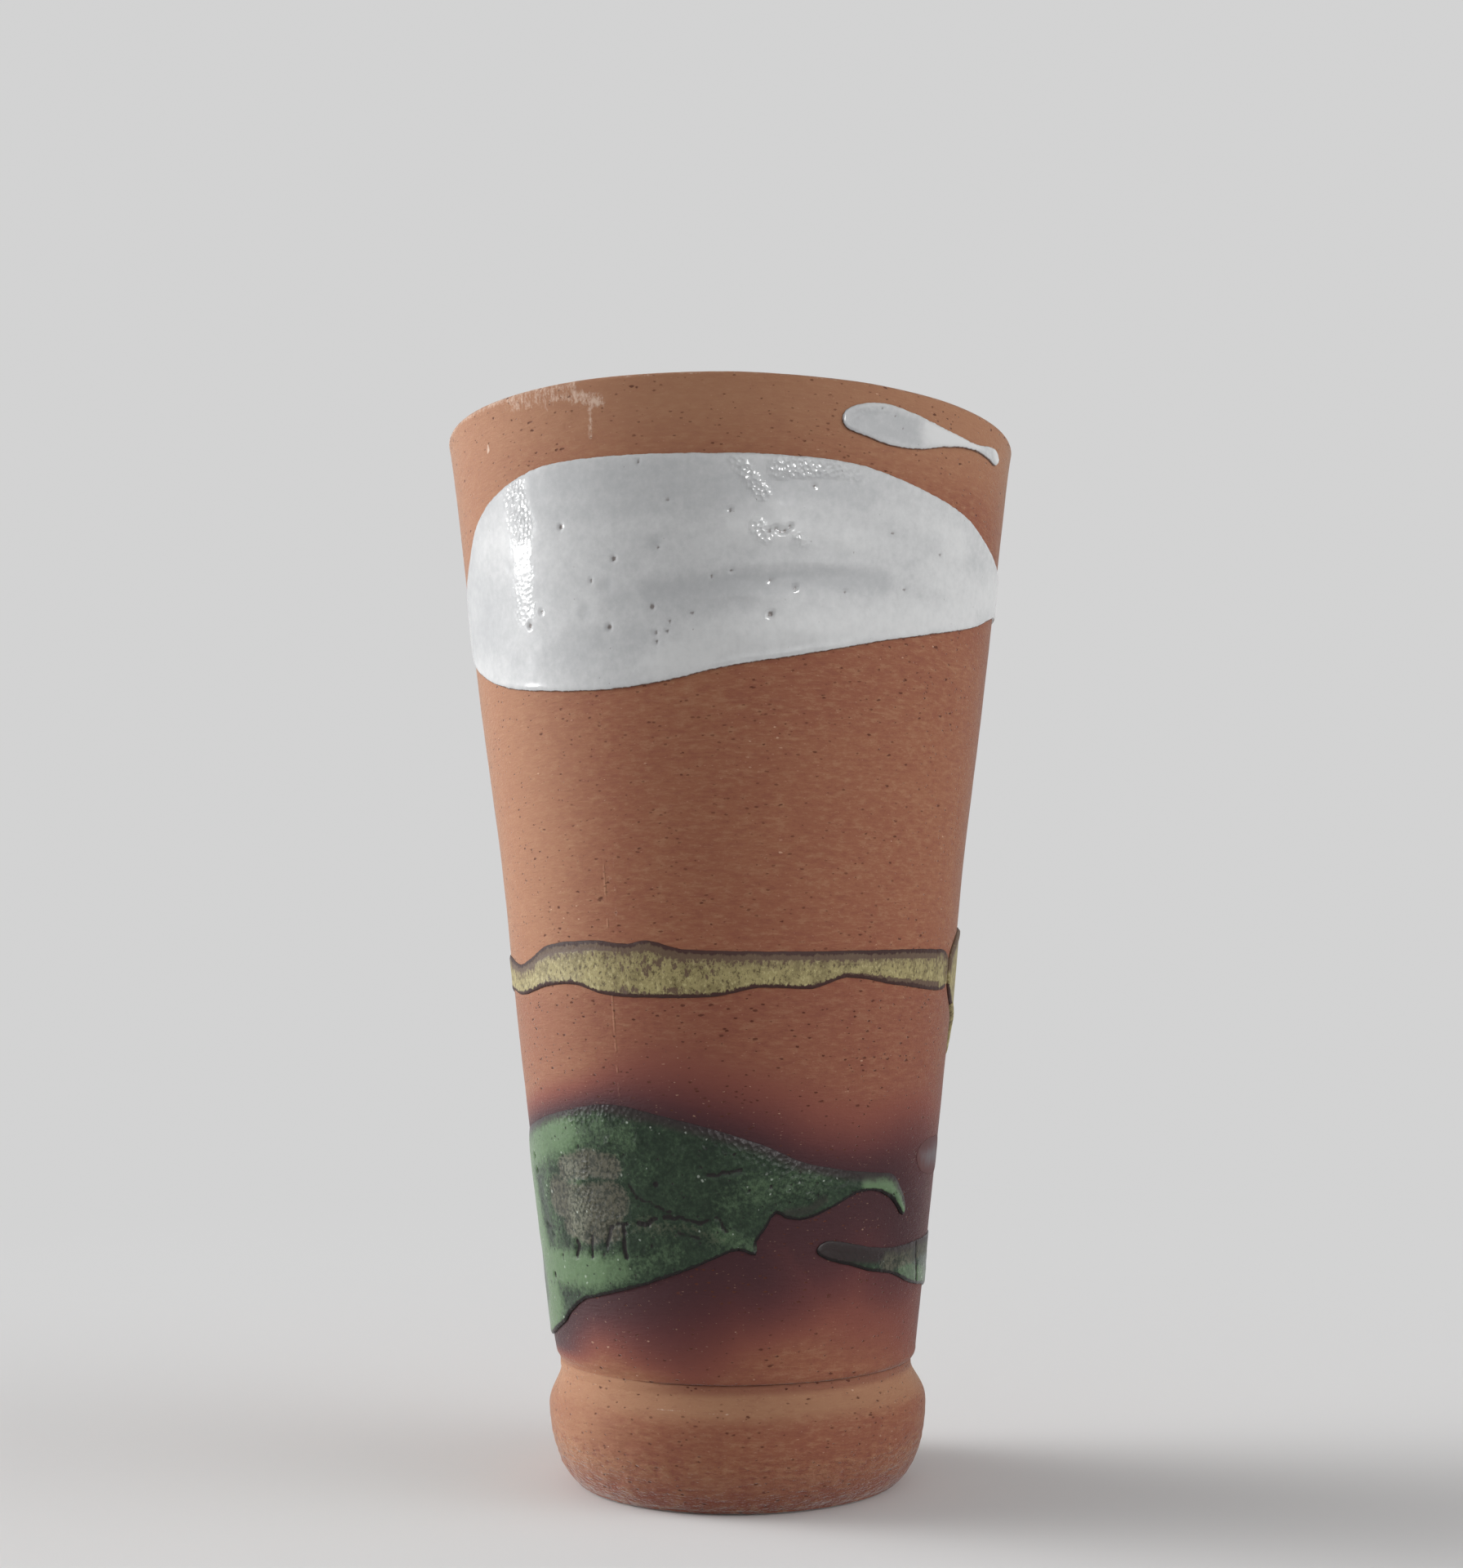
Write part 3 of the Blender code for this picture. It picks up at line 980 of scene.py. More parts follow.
@dataclass(frozen=True)
class BlueGreyFinish(Finish):
    """A thin pale film that fades out at its rim."""

    film: Colour = (0.135, 0.112, 0.118)
    rim: Colour = (0.098, 0.040, 0.039)
    roughness: float = 0.6
    specular: float = 0.2
    skin_depth: float = 0.00007

    def surface(self, wiring: Wiring, place: Flow, effects: Effects) -> Surface:
        """Wires the film.

        Args:
            wiring: the material's wiring.
            place: where on the film.
            effects: the shared effects.

        Returns:
            The looks of the film.
        """
        (border,) = wiring.traits("border")
        inward = border + wiring.flecks(place, 620.0, 260.0, 4.0, 0.65).swing(5.0)
        colour = wiring.layers(self.rim, (inward.ease(0.4, 4.2), self.film))
        skin = wiring.effect(effects.skin, place, Waves=0.4, Peel=0.8, Broken=0.2)
        return Surface(colour, skin, self.roughness)


# ------------------------------------------------------------------ marks


class Trait(Enum):
    """What a mark says of the surface where it lies. Materials read these by name."""

    THIN = "thin"
    POOLED = "pooled"
    PIT = "pit"
    RIPPLED = "rippled"
    SMOKED = "smoked"
    WORN = "worn"


@dataclass(frozen=True)
class Mark:
    """A stroke or a row of dots on the wall.

    Attributes:
        trait: what it says.
        path: (degrees, millimetres above the table) points.
        width: half width of its full part, in millimetres.
        soft: how far it fades beyond that, in millimetres.
        strength: its value in the middle.
        dots: whether the points stand alone, not joined by a line.
        wander: how far the stroke strays from its path, in millimetres.
    """

    trait: Trait
    path: tuple[Place, ...]
    width: float
    soft: float
    strength: float = 1.0
    dots: bool = False
    wander: float = 0.0

    def spots(self) -> list[Place]:
        """Lays the mark out.

        Returns:
            Its (degrees, millimetres) points, close enough together to read as a line.
        """
        if self.dots or len(self.path) == 1:
            return list(self.path)
        spots = []
        step = max(0.25, 0.4 * (self.width + 0.5 * self.soft))
        for (turn, z), (next_turn, next_z) in zip(self.path, self.path[1:]):
            span = math.hypot(math.radians(next_turn - turn) * 45.0, next_z - z)
            count = max(1, math.ceil(span / step))
            spots += [
                (turn + (next_turn - turn) * i / count, z + (next_z - z) * i / count)
                for i in range(count)
            ]
        return spots + [self.path[-1]]


def strokes(trait: Trait, *paths: tuple[Any, ...], **shared: Any) -> tuple[Mark, ...]:
    """Marks of one trait, each from its path, width, softness and strength."""
    return tuple(Mark(trait, *path, **shared) for path in paths)


class Painter:
    """Lays marks on the vertices of a shape by how far they are from each."""

    def __init__(self, points: Sequence[Vector]) -> None:
        """Sets up marking.

        Args:
            points: the settled points that marks can fall on.
        """
        self.count = len(points)
        self.tree = near_tree(points)
        self.layers: dict[Trait, list[float]] = {}

    def layer(self, trait: Trait) -> list[float]:
        """The values of one trait, all 0 at first."""
        return self.layers.setdefault(trait, [0.0] * self.count)

    def lay(self, laid: Iterable[Mark]) -> None:
        """Adds marks. Where marks of one trait overlap, the strongest counts.

        Args:
            laid: what to lay on the shape.
        """
        for mark in laid:
            values = self.layer(mark.trait)
            full, reach = mark.width * MM, (mark.width + mark.soft) * MM
            for turn, z in mark.spots():
                centre = FORM.on_wall(math.radians(turn), z * MM)
                centre += noise.noise_vector(centre * 650.0) * (mark.wander * MM)
                for _, i, away in self.tree.find_range(centre, reach):
                    share = smoothstep((reach - away) / max(reach - full, TINY))
                    values[i] = max(values[i], mark.strength * share)


# ------------------------------------------------------------------ clay


class GlazeOutlines:
    """The outlines of the poured glaze, as (degrees, thousandths of the wall's height)."""

    WHITE_POUR: tuple[Place, ...] = (
        (-84, 789), (-79.5, 823), (-71, 853), (-64, 881), (-55.5, 901), (-41, 919), (-27, 921),
        (-6, 919), (12, 919), (25, 916), (39.5, 903), (55, 887), (63, 873), (73, 859), (86, 842),
        (97, 819), (97, 808), (78.5, 800), (61.5, 774), (45, 755), (33.5, 743), (15, 723),
        (-2, 709), (-14, 697), (-28, 692), (-47, 700), (-57, 709), (-68, 726), (-79.5, 753),
    )
    WHITE_DRIP: tuple[Place, ...] = (
        (21, 958), (21.7, 969), (25, 977), (30, 981), (38, 976), (45, 970), (55.5, 967),
        (61.5, 972), (65, 973), (66.7, 966), (65.8, 957), (62, 958), (57, 960), (50.5, 957),
        (45, 951), (38, 942), (32, 940), (26, 945), (22.2, 950),
    )
    OCHRE_BAND: tuple[Place, ...] = (
        (-79, 430), (-68, 421), (-60, 427), (-51, 440), (-35, 443), (-25.5, 439), (-20.5, 442),
        (-12, 433), (12, 430), (39, 432), (60, 434), (67.9, 430), (68.8, 411), (67.6, 393),
        (45.5, 396), (28, 404), (22.5, 397), (19, 393), (6, 394), (-4, 386), (-20, 385),
        (-33, 389), (-42, 399), (-52, 398), (-67, 389), (-80, 395), (-96, 390), (-118, 399),
        (-140, 393), (-162, 387), (-184, 396), (-206, 391), (-228, 396), (-241.5, 396),
        (-243.5, 413), (-241.5, 430), (-225, 432), (-200, 427), (-180, 435), (-158, 432),
        (-136, 426), (-114, 435), (-96, 434),
    )
    OCHRE_SPLASH: tuple[Place, ...] = (
        (69.6, 410), (71, 430), (76, 446), (83, 457), (91, 460), (98, 450), (105, 445),
        (111, 432), (113, 413), (110, 393), (104, 385), (100, 361), (96.8, 327), (93.8, 319),
        (90.8, 333), (87, 352), (82, 362), (74, 382), (70.7, 396),
    )
    GREEN_POOL: tuple[Place, ...] = (
        (-84, 243), (-68, 256), (-53, 268), (-34, 278), (-18, 267), (-4, 253), (8, 238),
        (18, 221), (31, 211), (43, 206), (48, 203), (51.5, 191), (54.8, 174), (54.2, 160),
        (51, 168), (47.5, 179), (41, 188), (34.5, 187), (26.7, 174), (19, 164), (13.6, 166),
        (11, 171), (8, 154), (5.8, 143), (5.6, 130), (1, 135), (-4.5, 128), (-12, 116),
        (-28, 96), (-42, 83), (-49, 77), (-57, 61), (-62.5, 48), (-75, 31), (-84, 26),
        (-92, 37), (-98, 68), (-106, 107), (-118, 147), (-127, 186), (-124, 226), (-110, 246),
        (-96, 240),
    )
    GREEN_STREAK: tuple[Place, ...] = (
        (22.7, 133), (25.5, 141), (31, 139), (40, 132), (50, 128), (67, 130), (88, 131),
        (103, 121), (110.5, 101), (106, 79), (92, 71), (80, 77), (62.5, 87), (50.5, 101),
        (40, 108), (31.5, 117), (25, 124),
    )
    BLUE_GREY_SPOT: tuple[Place, ...] = (
        (59.5, 220), (63, 232), (71, 236), (81, 234), (88, 218), (85, 201), (77, 196),
        (68, 198), (62, 205),
    )


def outline_points(outline: Sequence[Place], step: float) -> list[Vector]:
    """Lays a glaze outline on the clay.

    Args:
        outline: its corners, in degrees and thousandths of the wall's height.
        step: how far apart the points are, about.

    Returns:
        The points of the smoothed outline, settled on the clay.
    """
    reach = FORM.outer(wall_height(sum(z for _, z in outline) / len(outline)))
    corners = [Vector((math.radians(turn) * reach, 0.0, wall_height(z))) for turn, z in outline]
    return [FORM.on_wall(point.x / reach, point.z) for point in smooth_loop(corners, step)]


@dataclass
class ClayPot:
    """The bare clay: the tall wall, the rolled foot and the floor slab."""

    finish: bpy.types.Material
    facets: int = 256
    wall_rows: float = 0.00095
    inside_rows: float = 0.0045
    neck_rows: float = 0.0004
    lip_outer_round: float = 0.0010
    lip_inner_round: float = 0.0020
    neck_round: float = 0.0019
    tenon_length: float = 0.0040
    tenon_radius: float = 0.0307
    seat_radius: float = 0.0310
    joint_gap: float = 0.0003
    foot_radius: float = 0.0361
    foot_base_radius: float = 0.0293
    foot_belly: float = 0.0142
    under_fullness: float = 1.9
    shoulder_fullness: float = 1.2
    slab_radius: float = 0.0267
    slab_thickness: float = 0.009
    cove_radius: float = 0.004
    cove_edge: float = 0.0008

    # How the foot was turned: it leans aside below, with wide rings and fine ridges low down.
    foot_lean: float = 0.00037
    straight: Fade = Fade(0.017, 0.006)
    foot_rings: float = 2.2
    ridge_depth: float = 0.00034
    ridge_pitch: float = 0.0012
    ridges_round: float = 11.0
    ridged: Fade = Fade(0.016, -0.006)

    # Where the joint over the foot was smeared soft, in degrees, and how far up the wall.
    soft_from: Fade = Fade(-115.0, 30.0)
    soft_to: Fade = Fade(-8.0, -30.0)
    soft_reach: float = 0.0055
    soft_depth: float = 0.00030
    soft_edge: Fade = Fade(0.0336, 0.0006)

    # The foot's looks by height, and by degrees at its lit left flank, which is painted paler. The
    # shoulder's top is painted lighter, and the crease and the base darker, as painted light and
    # shade.
    scratch_turns: Place = (-27.0, -2.0)
    scratch_height: float = 0.0187
    scratch_slope: float = 0.0004 / 22.0
    scratch_width: float = 0.0005
    patch_scale: float = 90.0
    lit_shoulder: Fade = Fade(0.0155, 0.0035)
    pale_base: Fade = Fade(0.0095, -0.003)
    belly_from: Fade = Fade(0.0085, 0.003)
    belly_to: Fade = Fade(0.018, -0.003)
    crease_shade: Fade = Fade(0.0205, 0.0016)
    burnt_edge: Fade = Fade(0.00975, -0.0075)
    rough_base: Fade = Fade(0.013, -0.004)
    lit_foot_flank: Fade = Fade(-21.0, -30.0)
    lit_flank_end: Fade = Fade(-170.0, 50.0)

    # The wall's looks in the same way, with painted light on the lit left flank and towards the
    # lip.
    wall_joint: Fade = Fade(0.0268, -0.0040)
    lit_wall_flank: Fade = Fade(-22.0, -34.0)
    lit_flank_base: Fade = Fade(0.038, -0.010)
    lit_lip: Fade = Fade(0.178, 0.018)
    right_base: Fade = Fade(0.040, -0.010)
    right_turn: Fade = Fade(-4.0, 22.0)
    ruddy_low: Fade = Fade(0.099, -0.010)

    # How far the green glaze's vapour reached up and down, at its left and at its right.
    fume_up: Place = (0.0078, 0.0188)
    fume_down: Place = (0.0118, 0.0245)
    fume_top: float = 0.095
    fume_wide: Fade = Fade(-46.0, 34.0)
    fume_narrow: Fade = Fade(-12.0, 28.0)
    fume_sources: tuple[tuple[tuple[Place, ...], float], ...] = (
        (GlazeOutlines.GREEN_POOL, 1.0),
        (GlazeOutlines.GREEN_STREAK, 0.6),
        (GlazeOutlines.BLUE_GREY_SPOT, 0.6),
    )

    wear: tuple[Mark, ...] = strokes(
        Trait.WORN,
        (((-85, 199.2), (-60, 199.4), (-40, 199.4), (-30, 199.6)), 0.7, 1.3, 0.9),
        (((-22, 199.6), (0, 199.8), (40, 199.8), (85, 199.8)), 0.3, 0.8, 0.8),
        (((-46, 198.0), (-36, 197.5), (-30, 197.6)), 0.6, 3.0, 0.85),
        (((-29.4, 197.0), (-26.5, 196.2), (-24.4, 195.8)), 0.6, 2.4, 1.0),
        (((-27, 194.2), (-27.1, 189.7)), 0.3, 1.2, 1.05),
        (((-31.5, 196.5), (-31.8, 193.0)), 0.2, 1.2, 0.95),
        (((-37, 196.8), (-37.3, 194.0)), 0.2, 1.2, 0.95),
        (((-44, 195.5), (-43, 192)), 0.2, 1.6, 0.75),
        (((-55.1, 191.7),), 0.5, 0.7, 1.4),
        (((-49, 24.8), (-41.5, 25.2)), 0.2, 0.7, 0.75),
        (((-28, 103.5), (-29, 112), (-28, 118)), 0.3, 1.6, 0.75, False, 1.2),
        (((-45.5, 110), (-44, 111)), 0.3, 1.2, 0.75),
    )

    def build(self) -> None:
        """Makes and dresses the three clay pieces."""
        self.build_floor()
        self.build_foot()
        self.build_wall()

    def softness(self, turn: float) -> float:
        """How far the joint was smeared over at a turn in radians, from 0 to 1."""
        degrees = math.degrees(turn)
        return self.soft_from.at(degrees) * self.soft_to.at(degrees)

    def build_floor(self) -> None:
        """The base disc, whose top turns up at the edge in a cove."""
        out, top = self.slab_radius, self.slab_thickness
        centre = (out - self.cove_edge - self.cove_radius, top + self.cove_radius)
        section = [(0.0, 0.0), (out * 0.5, 0.0), (out, 0.0), (out, centre[1])]
        section += arc(centre, self.cove_radius, 0, -90, 8)
        section += [(out * 0.4, top), (0.0, top)]
        make_piece("clay_floor", turned(section, 96, on_axis=True), self.finish, "floor_slab")

    def build_foot(self) -> None:
        """The rolled foot, trimmed in fine rings, with the rebate that the wall sits in."""
        top = FORM.foot_height - self.joint_gap
        seat = top - self.tenon_length
        crease = FORM.foot_height - FORM.groove_height
        belly = (self.foot_radius, self.foot_belly)
        groove = (FORM.groove_radius, crease)
        section = [(FORM.bore_radius, 0.0)]
        section += curve((self.foot_base_radius, 0.0), belly, 44, rounded, self.under_fullness)
        section += curve(groove, belly, 22, shouldered, self.shoulder_fullness)[1:]
        section += [(FORM.groove_radius, z) for z in rise(crease, top, self.neck_rows)][1:]
        section += [(self.seat_radius, top), (self.seat_radius, seat), (FORM.bore_radius, seat)]
        bm = turned(section, self.facets)
        for vert in bm.verts:
            turn, radius = polar(vert.co)
            if radius <= self.foot_base_radius - 2 * NEAR:
                continue
            if 5 * NEAR < vert.co.z < crease:
                press = self.foot_rings * FORM.rings(turn, vert.co.z * 1.7 + 0.3)
                spot = Vector((self.ridges_round * turn, 0.0, vert.co.z / self.ridge_pitch))
                ridge = self.ridge_depth * (0.5 + 0.5 * noise.noise(spot))
                vert.co.xy *= 1.0 - (press + ridge * self.ridged.at(vert.co.z)) / radius
            if vert.co.z > top - NEAR and radius > FORM.groove_radius - 2 * NEAR:
                vert.co.z += self.joint_gap * max(0.7, self.softness(turn))
            vert.co.x += self.foot_lean * (1.0 - self.straight.at(vert.co.z))
        foot = make_piece("clay_foot", bm, self.finish, "foot_band")
        looks = (self.foot_looks(vert.co) for vert in foot.data.vertices)
        worn, pale, burnt, rough = zip(*looks)
        write_traits(foot, worn=worn, pale=pale, burnt=burnt, rough=rough)

    def foot_looks(self, point: Vector) -> tuple[float, float, float, float]:
        """What the fire, the turning and use did to the foot, and the light and shade painted on
        it.

        Args:
            point: a point of the foot.

        Returns:
            How worn, pale, darkened and rough it is there. The paleness is painted light on the
            shoulder's top and the lit left flank, with pale patches low down; the darkening is a
            ruddy belly, with painted shade in the crease and towards the base.
        """
        turn = math.degrees(polar(point)[0])
        start, end = self.scratch_turns
        scratch = self.scratch_height - self.scratch_slope * (turn + 25.0)
        near = 1.0 - min(1.0, abs(point.z - scratch) / self.scratch_width)
        patch = 0.5 + noise.noise(Vector((point.x, point.y, point.z * 3.0)) * self.patch_scale)
        low = self.pale_base.at(point.z) * smoothstep(patch * 1.4)
        # Painted light: the foot's left flank, the lit side, is made paler.
        flank = 0.7 * self.lit_foot_flank.at(turn) * self.lit_flank_end.at(turn)
        belly = self.belly_from.at(point.z) * self.belly_to.at(point.z) * smoothstep(patch * 1.5)
        # Painted shade in the crease under the wall, where the joint was not smeared over.
        joint = self.crease_shade.at(point.z) * (1.0 - self.softness(math.radians(turn)))
        # Painted shade: darker towards the base of the foot.
        edge = self.burnt_edge.at(point.z)
        return (
            near if start < turn < end else 0.0,
            # Painted light on the shoulder's top and the lit flank, with the pale patches low down.
            max(self.lit_shoulder.at(point.z), 0.3 * low, flank),
            max(0.4 * belly, 1.5 * edge, 1.3 * joint),
            0.25 + 0.75 * self.rough_base.at(point.z),
        )

    def build_wall(self) -> None:
        """The tall wall, with its rounded lip, turning rings, wear and kiln fuming."""
        neck = FORM.foot_height + self.neck_round
        groove = (FORM.groove_radius, FORM.foot_height)
        edge = curve(groove, (FORM.outer(neck), neck), 6, rounded, 2.0)
        lip, hollow = FORM.height - self.lip_outer_round, FORM.height - self.lip_inner_round
        section = edge[:-1] + [(FORM.outer(z), z) for z in rise(neck, lip, self.wall_rows)][:-1]
        centre = (FORM.outer(lip) - self.lip_outer_round, lip)
        section += arc(centre, self.lip_outer_round, 0, 90, 6)
        centre = (FORM.inner(hollow) + self.lip_inner_round, hollow)
        section += arc(centre, self.lip_inner_round, 90, 180, 8)
        inside = [(FORM.inner(z), z) for z in rise(FORM.foot_height, hollow, self.inside_rows)]
        end = FORM.foot_height - self.tenon_length
        section += inside[-2::-1] + [(FORM.bore_radius, end), (self.tenon_radius, end)]
        section.append((self.tenon_radius, FORM.foot_height))
        bm = turned(section, self.facets)
        for vert in bm.verts:
            turn, radius = polar(vert.co)
            middle = (FORM.outer(vert.co.z) + FORM.inner(vert.co.z)) / 2.0
            if vert.co.z > neck - NEAR and radius > middle:
                low = 1.0 - smoothstep((vert.co.z - FORM.foot_height) / self.soft_reach)
                smear = self.soft_depth * self.softness(turn) * low * self.soft_edge.at(radius)
                vert.co.xy *= 1.0 - (FORM.rings(turn, vert.co.z) + smear) / radius
            elif radius > FORM.groove_radius - NEAR and vert.co.z < neck:
                share = max(0.0, (vert.co.z - FORM.foot_height) / self.neck_round) ** 1.5
                fillet = FORM.groove_radius + (FORM.outer(neck) - FORM.groove_radius) * share
                vert.co.xy *= 1.0 + (fillet - radius) * self.softness(turn) / radius
            FORM.settle(vert.co)
        points = [vert.co.copy() for vert in bm.verts]
        wall = make_piece("clay_wall", bm, self.finish, "body_wall")
        painter = Painter(points)
        painter.lay(self.wear)
        pale, burnt, fuming = zip(*map(self.wall_looks, points, self.fuming(points)))
        worn = painter.layer(Trait.WORN)
        write_traits(wall, worn=worn, fuming=fuming, pale=pale, burnt=burnt)

    def wall_looks(self, point: Vector, fume: float) -> tuple[float, float, float]:
        """What the fire did to the wall, and the light painted on it.

        Args:
            point: a point of the wall.
            fume: how much of the green glaze's vapour reached it.

        Returns:
            How pale, darkened and fumed it is there. The paleness is painted light on the lit left
            flank and towards the lip, with a paler smear over the joint.
        """
        turn = math.degrees(polar(point)[0])
        joint = self.wall_joint.at(point.z) * self.softness(math.radians(turn))
        # Painted light: the wall's lit left flank is made paler, less so near its base.
        flank = 0.75 * self.lit_wall_flank.at(turn) * self.lit_flank_end.at(turn)
        flank *= 1.0 - 0.75 * self.lit_flank_base.at(point.z)
        right = self.right_base.at(point.z) * self.right_turn.at(turn)
        # Painted light: the wall is made paler towards the lip, as light from above leaves it.
        pale = max(flank, 0.85 * self.lit_lip.at(point.z), 0.3 * joint)
        burnt = 0.75 * self.ruddy_low.at(point.z) * (1.0 - joint) * (1.0 - 0.35 * right)
        return pale, burnt, fume * (1.0 - joint)

    def fuming(self, points: Sequence[Vector]) -> list[float]:
        """How strongly the green glaze's vapour stained the clay round it.

        Args:
            points: the wall's vertices.

        Returns:
            One value from 0 to 1 for each point.
        """
        sources = [
            (near_tree(outline_points(outline, 0.0012)), strength)
            for outline, strength in self.fume_sources
        ]
        values = []
        for point in points:
            clear = 1.0
            if point.z < self.fume_top:
                turn = math.degrees(polar(point)[0])
                wide = self.fume_wide.at(turn)
                rise_reach = self.fume_up[0] + (self.fume_up[1] - self.fume_up[0]) * wide
                wide *= 1.0 - 0.45 * self.fume_narrow.at(turn)
                fall_reach = self.fume_down[0] + (self.fume_down[1] - self.fume_down[0]) * wide
                for tree, strength in sources:
                    near, _, away = tree.find(point)
                    up = 0.5 + 0.5 * (point.z - near.z) / max(away, TINY)
                    above = max(0.0, 1.0 - away / rise_reach) ** 1.3
                    under = max(0.0, 1.0 - (away / fall_reach) ** 1.8)
                    clear *= 1.0 - strength * (under + (above - under) * up)
            values.append(1.0 - clear)
        return values


@dataclass
class GlazeLining:
    """The thin cup of clear glaze inside."""

    finish: bpy.types.Material
    off_clay: float = 0.0003
    thickness: float = 0.0005
    below_lip: float = 0.006
    facets: int = 128
    rows: float = 0.004
    floor_top: float = 0.009
    cove_radius: float = 0.004
    cove_centre: float = 0.0219

    def path(self, offset: float) -> list[Place]:
        """The inside of the clay, moved inwards.

        Args:
            offset: how far inwards.

        Returns:
            Points (r, z) from the axis to the lip.
        """
        cove_top = self.floor_top + self.cove_radius
        path = [(0.0, self.floor_top + offset), (self.cove_centre / 2.0, self.floor_top + offset)]
        path += arc((self.cove_centre, cove_top), self.cove_radius - offset, -90, 0, 8)
        path.append((FORM.bore_radius - offset, cove_top + (FORM.foot_height - cove_top) / 3.0))
        heights = rise(FORM.foot_height, FORM.height - self.below_lip, self.rows)
        return path + [(FORM.inner(z) - offset, z) for z in heights]

    def build(self) -> None:
        """Makes the cup, whose rim fades to a rounded edge."""
        outer = self.path(self.off_clay)
        inner = self.path(self.off_clay + self.thickness)
        crest = ((outer[-1][0] + inner[-1][0]) / 2.0, outer[-1][1] + self.thickness * 0.4)
        bm = turned(outer + [crest] + inner[::-1], self.facets, on_axis=True)
        for vert in bm.verts:
            FORM.settle(vert.co)
        make_piece("glaze_lining", bm, self.finish, "inner_glaze_lining")


# ------------------------------------------------------------------ glaze coats


@dataclass
class GlazeCoat:
    """One coat of glaze, poured on the wall: a sheet with a rounded rim, pits and pools."""

    name: str
    node: str
    outline: tuple[Place, ...]
    finish: bpy.types.Material
    thickness: float
    marks: tuple[Mark, ...] = ()
    rim_width: float = 0.0008
    embed: float = 0.0001
    foil: float = 0.001
    outline_step: float = 0.0011
    rim_step: float = 0.00025
    dice: float = 0.0019
    levels: int = 2
    wave_height: float = 0.00004
    wave_scale: float = 260.0
    pool_gain: float = 0.45
    thin_loss: float = 0.4
    pit_loss: float = 0.85
    bead: float = 0.30
    bead_width: float = 0.0011
    raggedness: float = 0.00008
    upper_reach: float = 0.005
    upper_thinning: float = 0.0
    upper_softness: float = 0.0
    least_lift: float = 0.00002
    border_limit: float = 8.0
    reach: float = field(init=False)

    def __post_init__(self) -> None:
        """Works out the radius at which the flat sheet is laid out."""
        middle = sum(z for _, z in self.outline) / len(self.outline)
        self.reach = FORM.outer(wall_height(middle))

    def flat_loop(self, step: float) -> list[Vector]:
        """The outline laid out flat, a little ragged: X is the way round, and Z is up.

        Args:
            step: about how far apart its points are.

        Returns:
            Its points.
        """
        corners = [
            Vector((math.radians(turn) * self.reach, 0.0, wall_height(z)))
            for turn, z in self.outline
        ]
        loop = smooth_loop(corners, step)
        for point in loop:
            point.x += self.raggedness * noise.noise(point * 700.0)
            point.z += self.raggedness * (noise.noise(point * 520.0) + noise.noise(point * 1400.0))
        return loop

    def flat_sheet(self) -> bmesh.types.BMesh:
        """Lays the coat out flat.

        Returns:
            A closed sheet, front at -Y, with a narrow strip along its rim, cut in squares.
        """
        bm = bmesh.new()
        back = bm.faces.new([bm.verts.new(point) for point in self.flat_loop(self.outline_step)])
        made = bmesh.ops.extrude_face_region(bm, geom=[back], use_keep_orig=True)["geom"]
        lifted = [item for item in made if isinstance(item, bmesh.types.BMVert)]
        bmesh.ops.translate(bm, verts=lifted, vec=(0.0, -self.foil, 0.0))
        front = next(item for item in made if isinstance(item, bmesh.types.BMFace))
        strip = self.rim_width * 0.5
        bmesh.ops.inset_region(bm, faces=[front], thickness=strip, use_boundary=True)
        for axis in (Vector((1.0, 0.0, 0.0)), Vector((0.0, 0.0, 1.0))):
            ends = [vert.co.dot(axis) / self.dice for vert in bm.verts]
            for i in range(math.ceil(min(ends)), math.floor(max(ends)) + 1):
                bmesh.ops.bisect_plane(
                    bm,
                    geom=bm.verts[:] + bm.edges[:] + bm.faces[:],
                    dist=0.00002,
                    plane_co=axis * (i * self.dice),
                    plane_no=axis,
                )
        bmesh.ops.recalc_face_normals(bm, faces=bm.faces[:])
        return bm

    def refined(self, bm: bmesh.types.BMesh) -> bmesh.types.BMesh:
        """Splits every face of a flat sheet into small quads, without rounding it.

        Args:
            bm: the sheet, which is freed.

        Returns:
            The finer sheet.
        """
        helper = make_object("sheet", bm, self.finish)
        mesh = helper.data
        split = helper.modifiers.new("split", "SUBSURF")
        split.subdivision_type = "SIMPLE"
        split.levels = split.render_levels = self.levels
        finer = bmesh.new()
        finer.from_object(helper, bpy.context.evaluated_depsgraph_get())
        bpy.data.objects.remove(helper, do_unlink=True)
        bpy.data.meshes.remove(mesh)
        return finer

    def rim_measures(self, bm: bmesh.types.BMesh) -> tuple[list[float], list[float]]:
        """How the vertices of the flat sheet lie to its rim.

        Args:
            bm: the sheet.

        Returns:
            How far in from the rim each is, and how much the rim near it faces down.
        """
        rim = self.flat_loop(self.rim_step)
        count = len(rim)
        area = sum(rim[i - 1].x * rim[i].z - rim[i].x * rim[i - 1].z for i in range(count))
        below = []
        for i in range(count):
            along = rim[(i + 3) % count] - rim[i - 3]
            facing_down = math.copysign(1.0, area) * along.x / max(along.length, TINY)
            below.append(smoothstep(0.5 + 0.7 * facing_down))
        tree = near_tree(rim)
        nearest = [tree.find((vert.co.x, 0.0, vert.co.z)) for vert in bm.verts]
        return [away for _, _, away in nearest], [below[i] for _, i, _ in nearest]

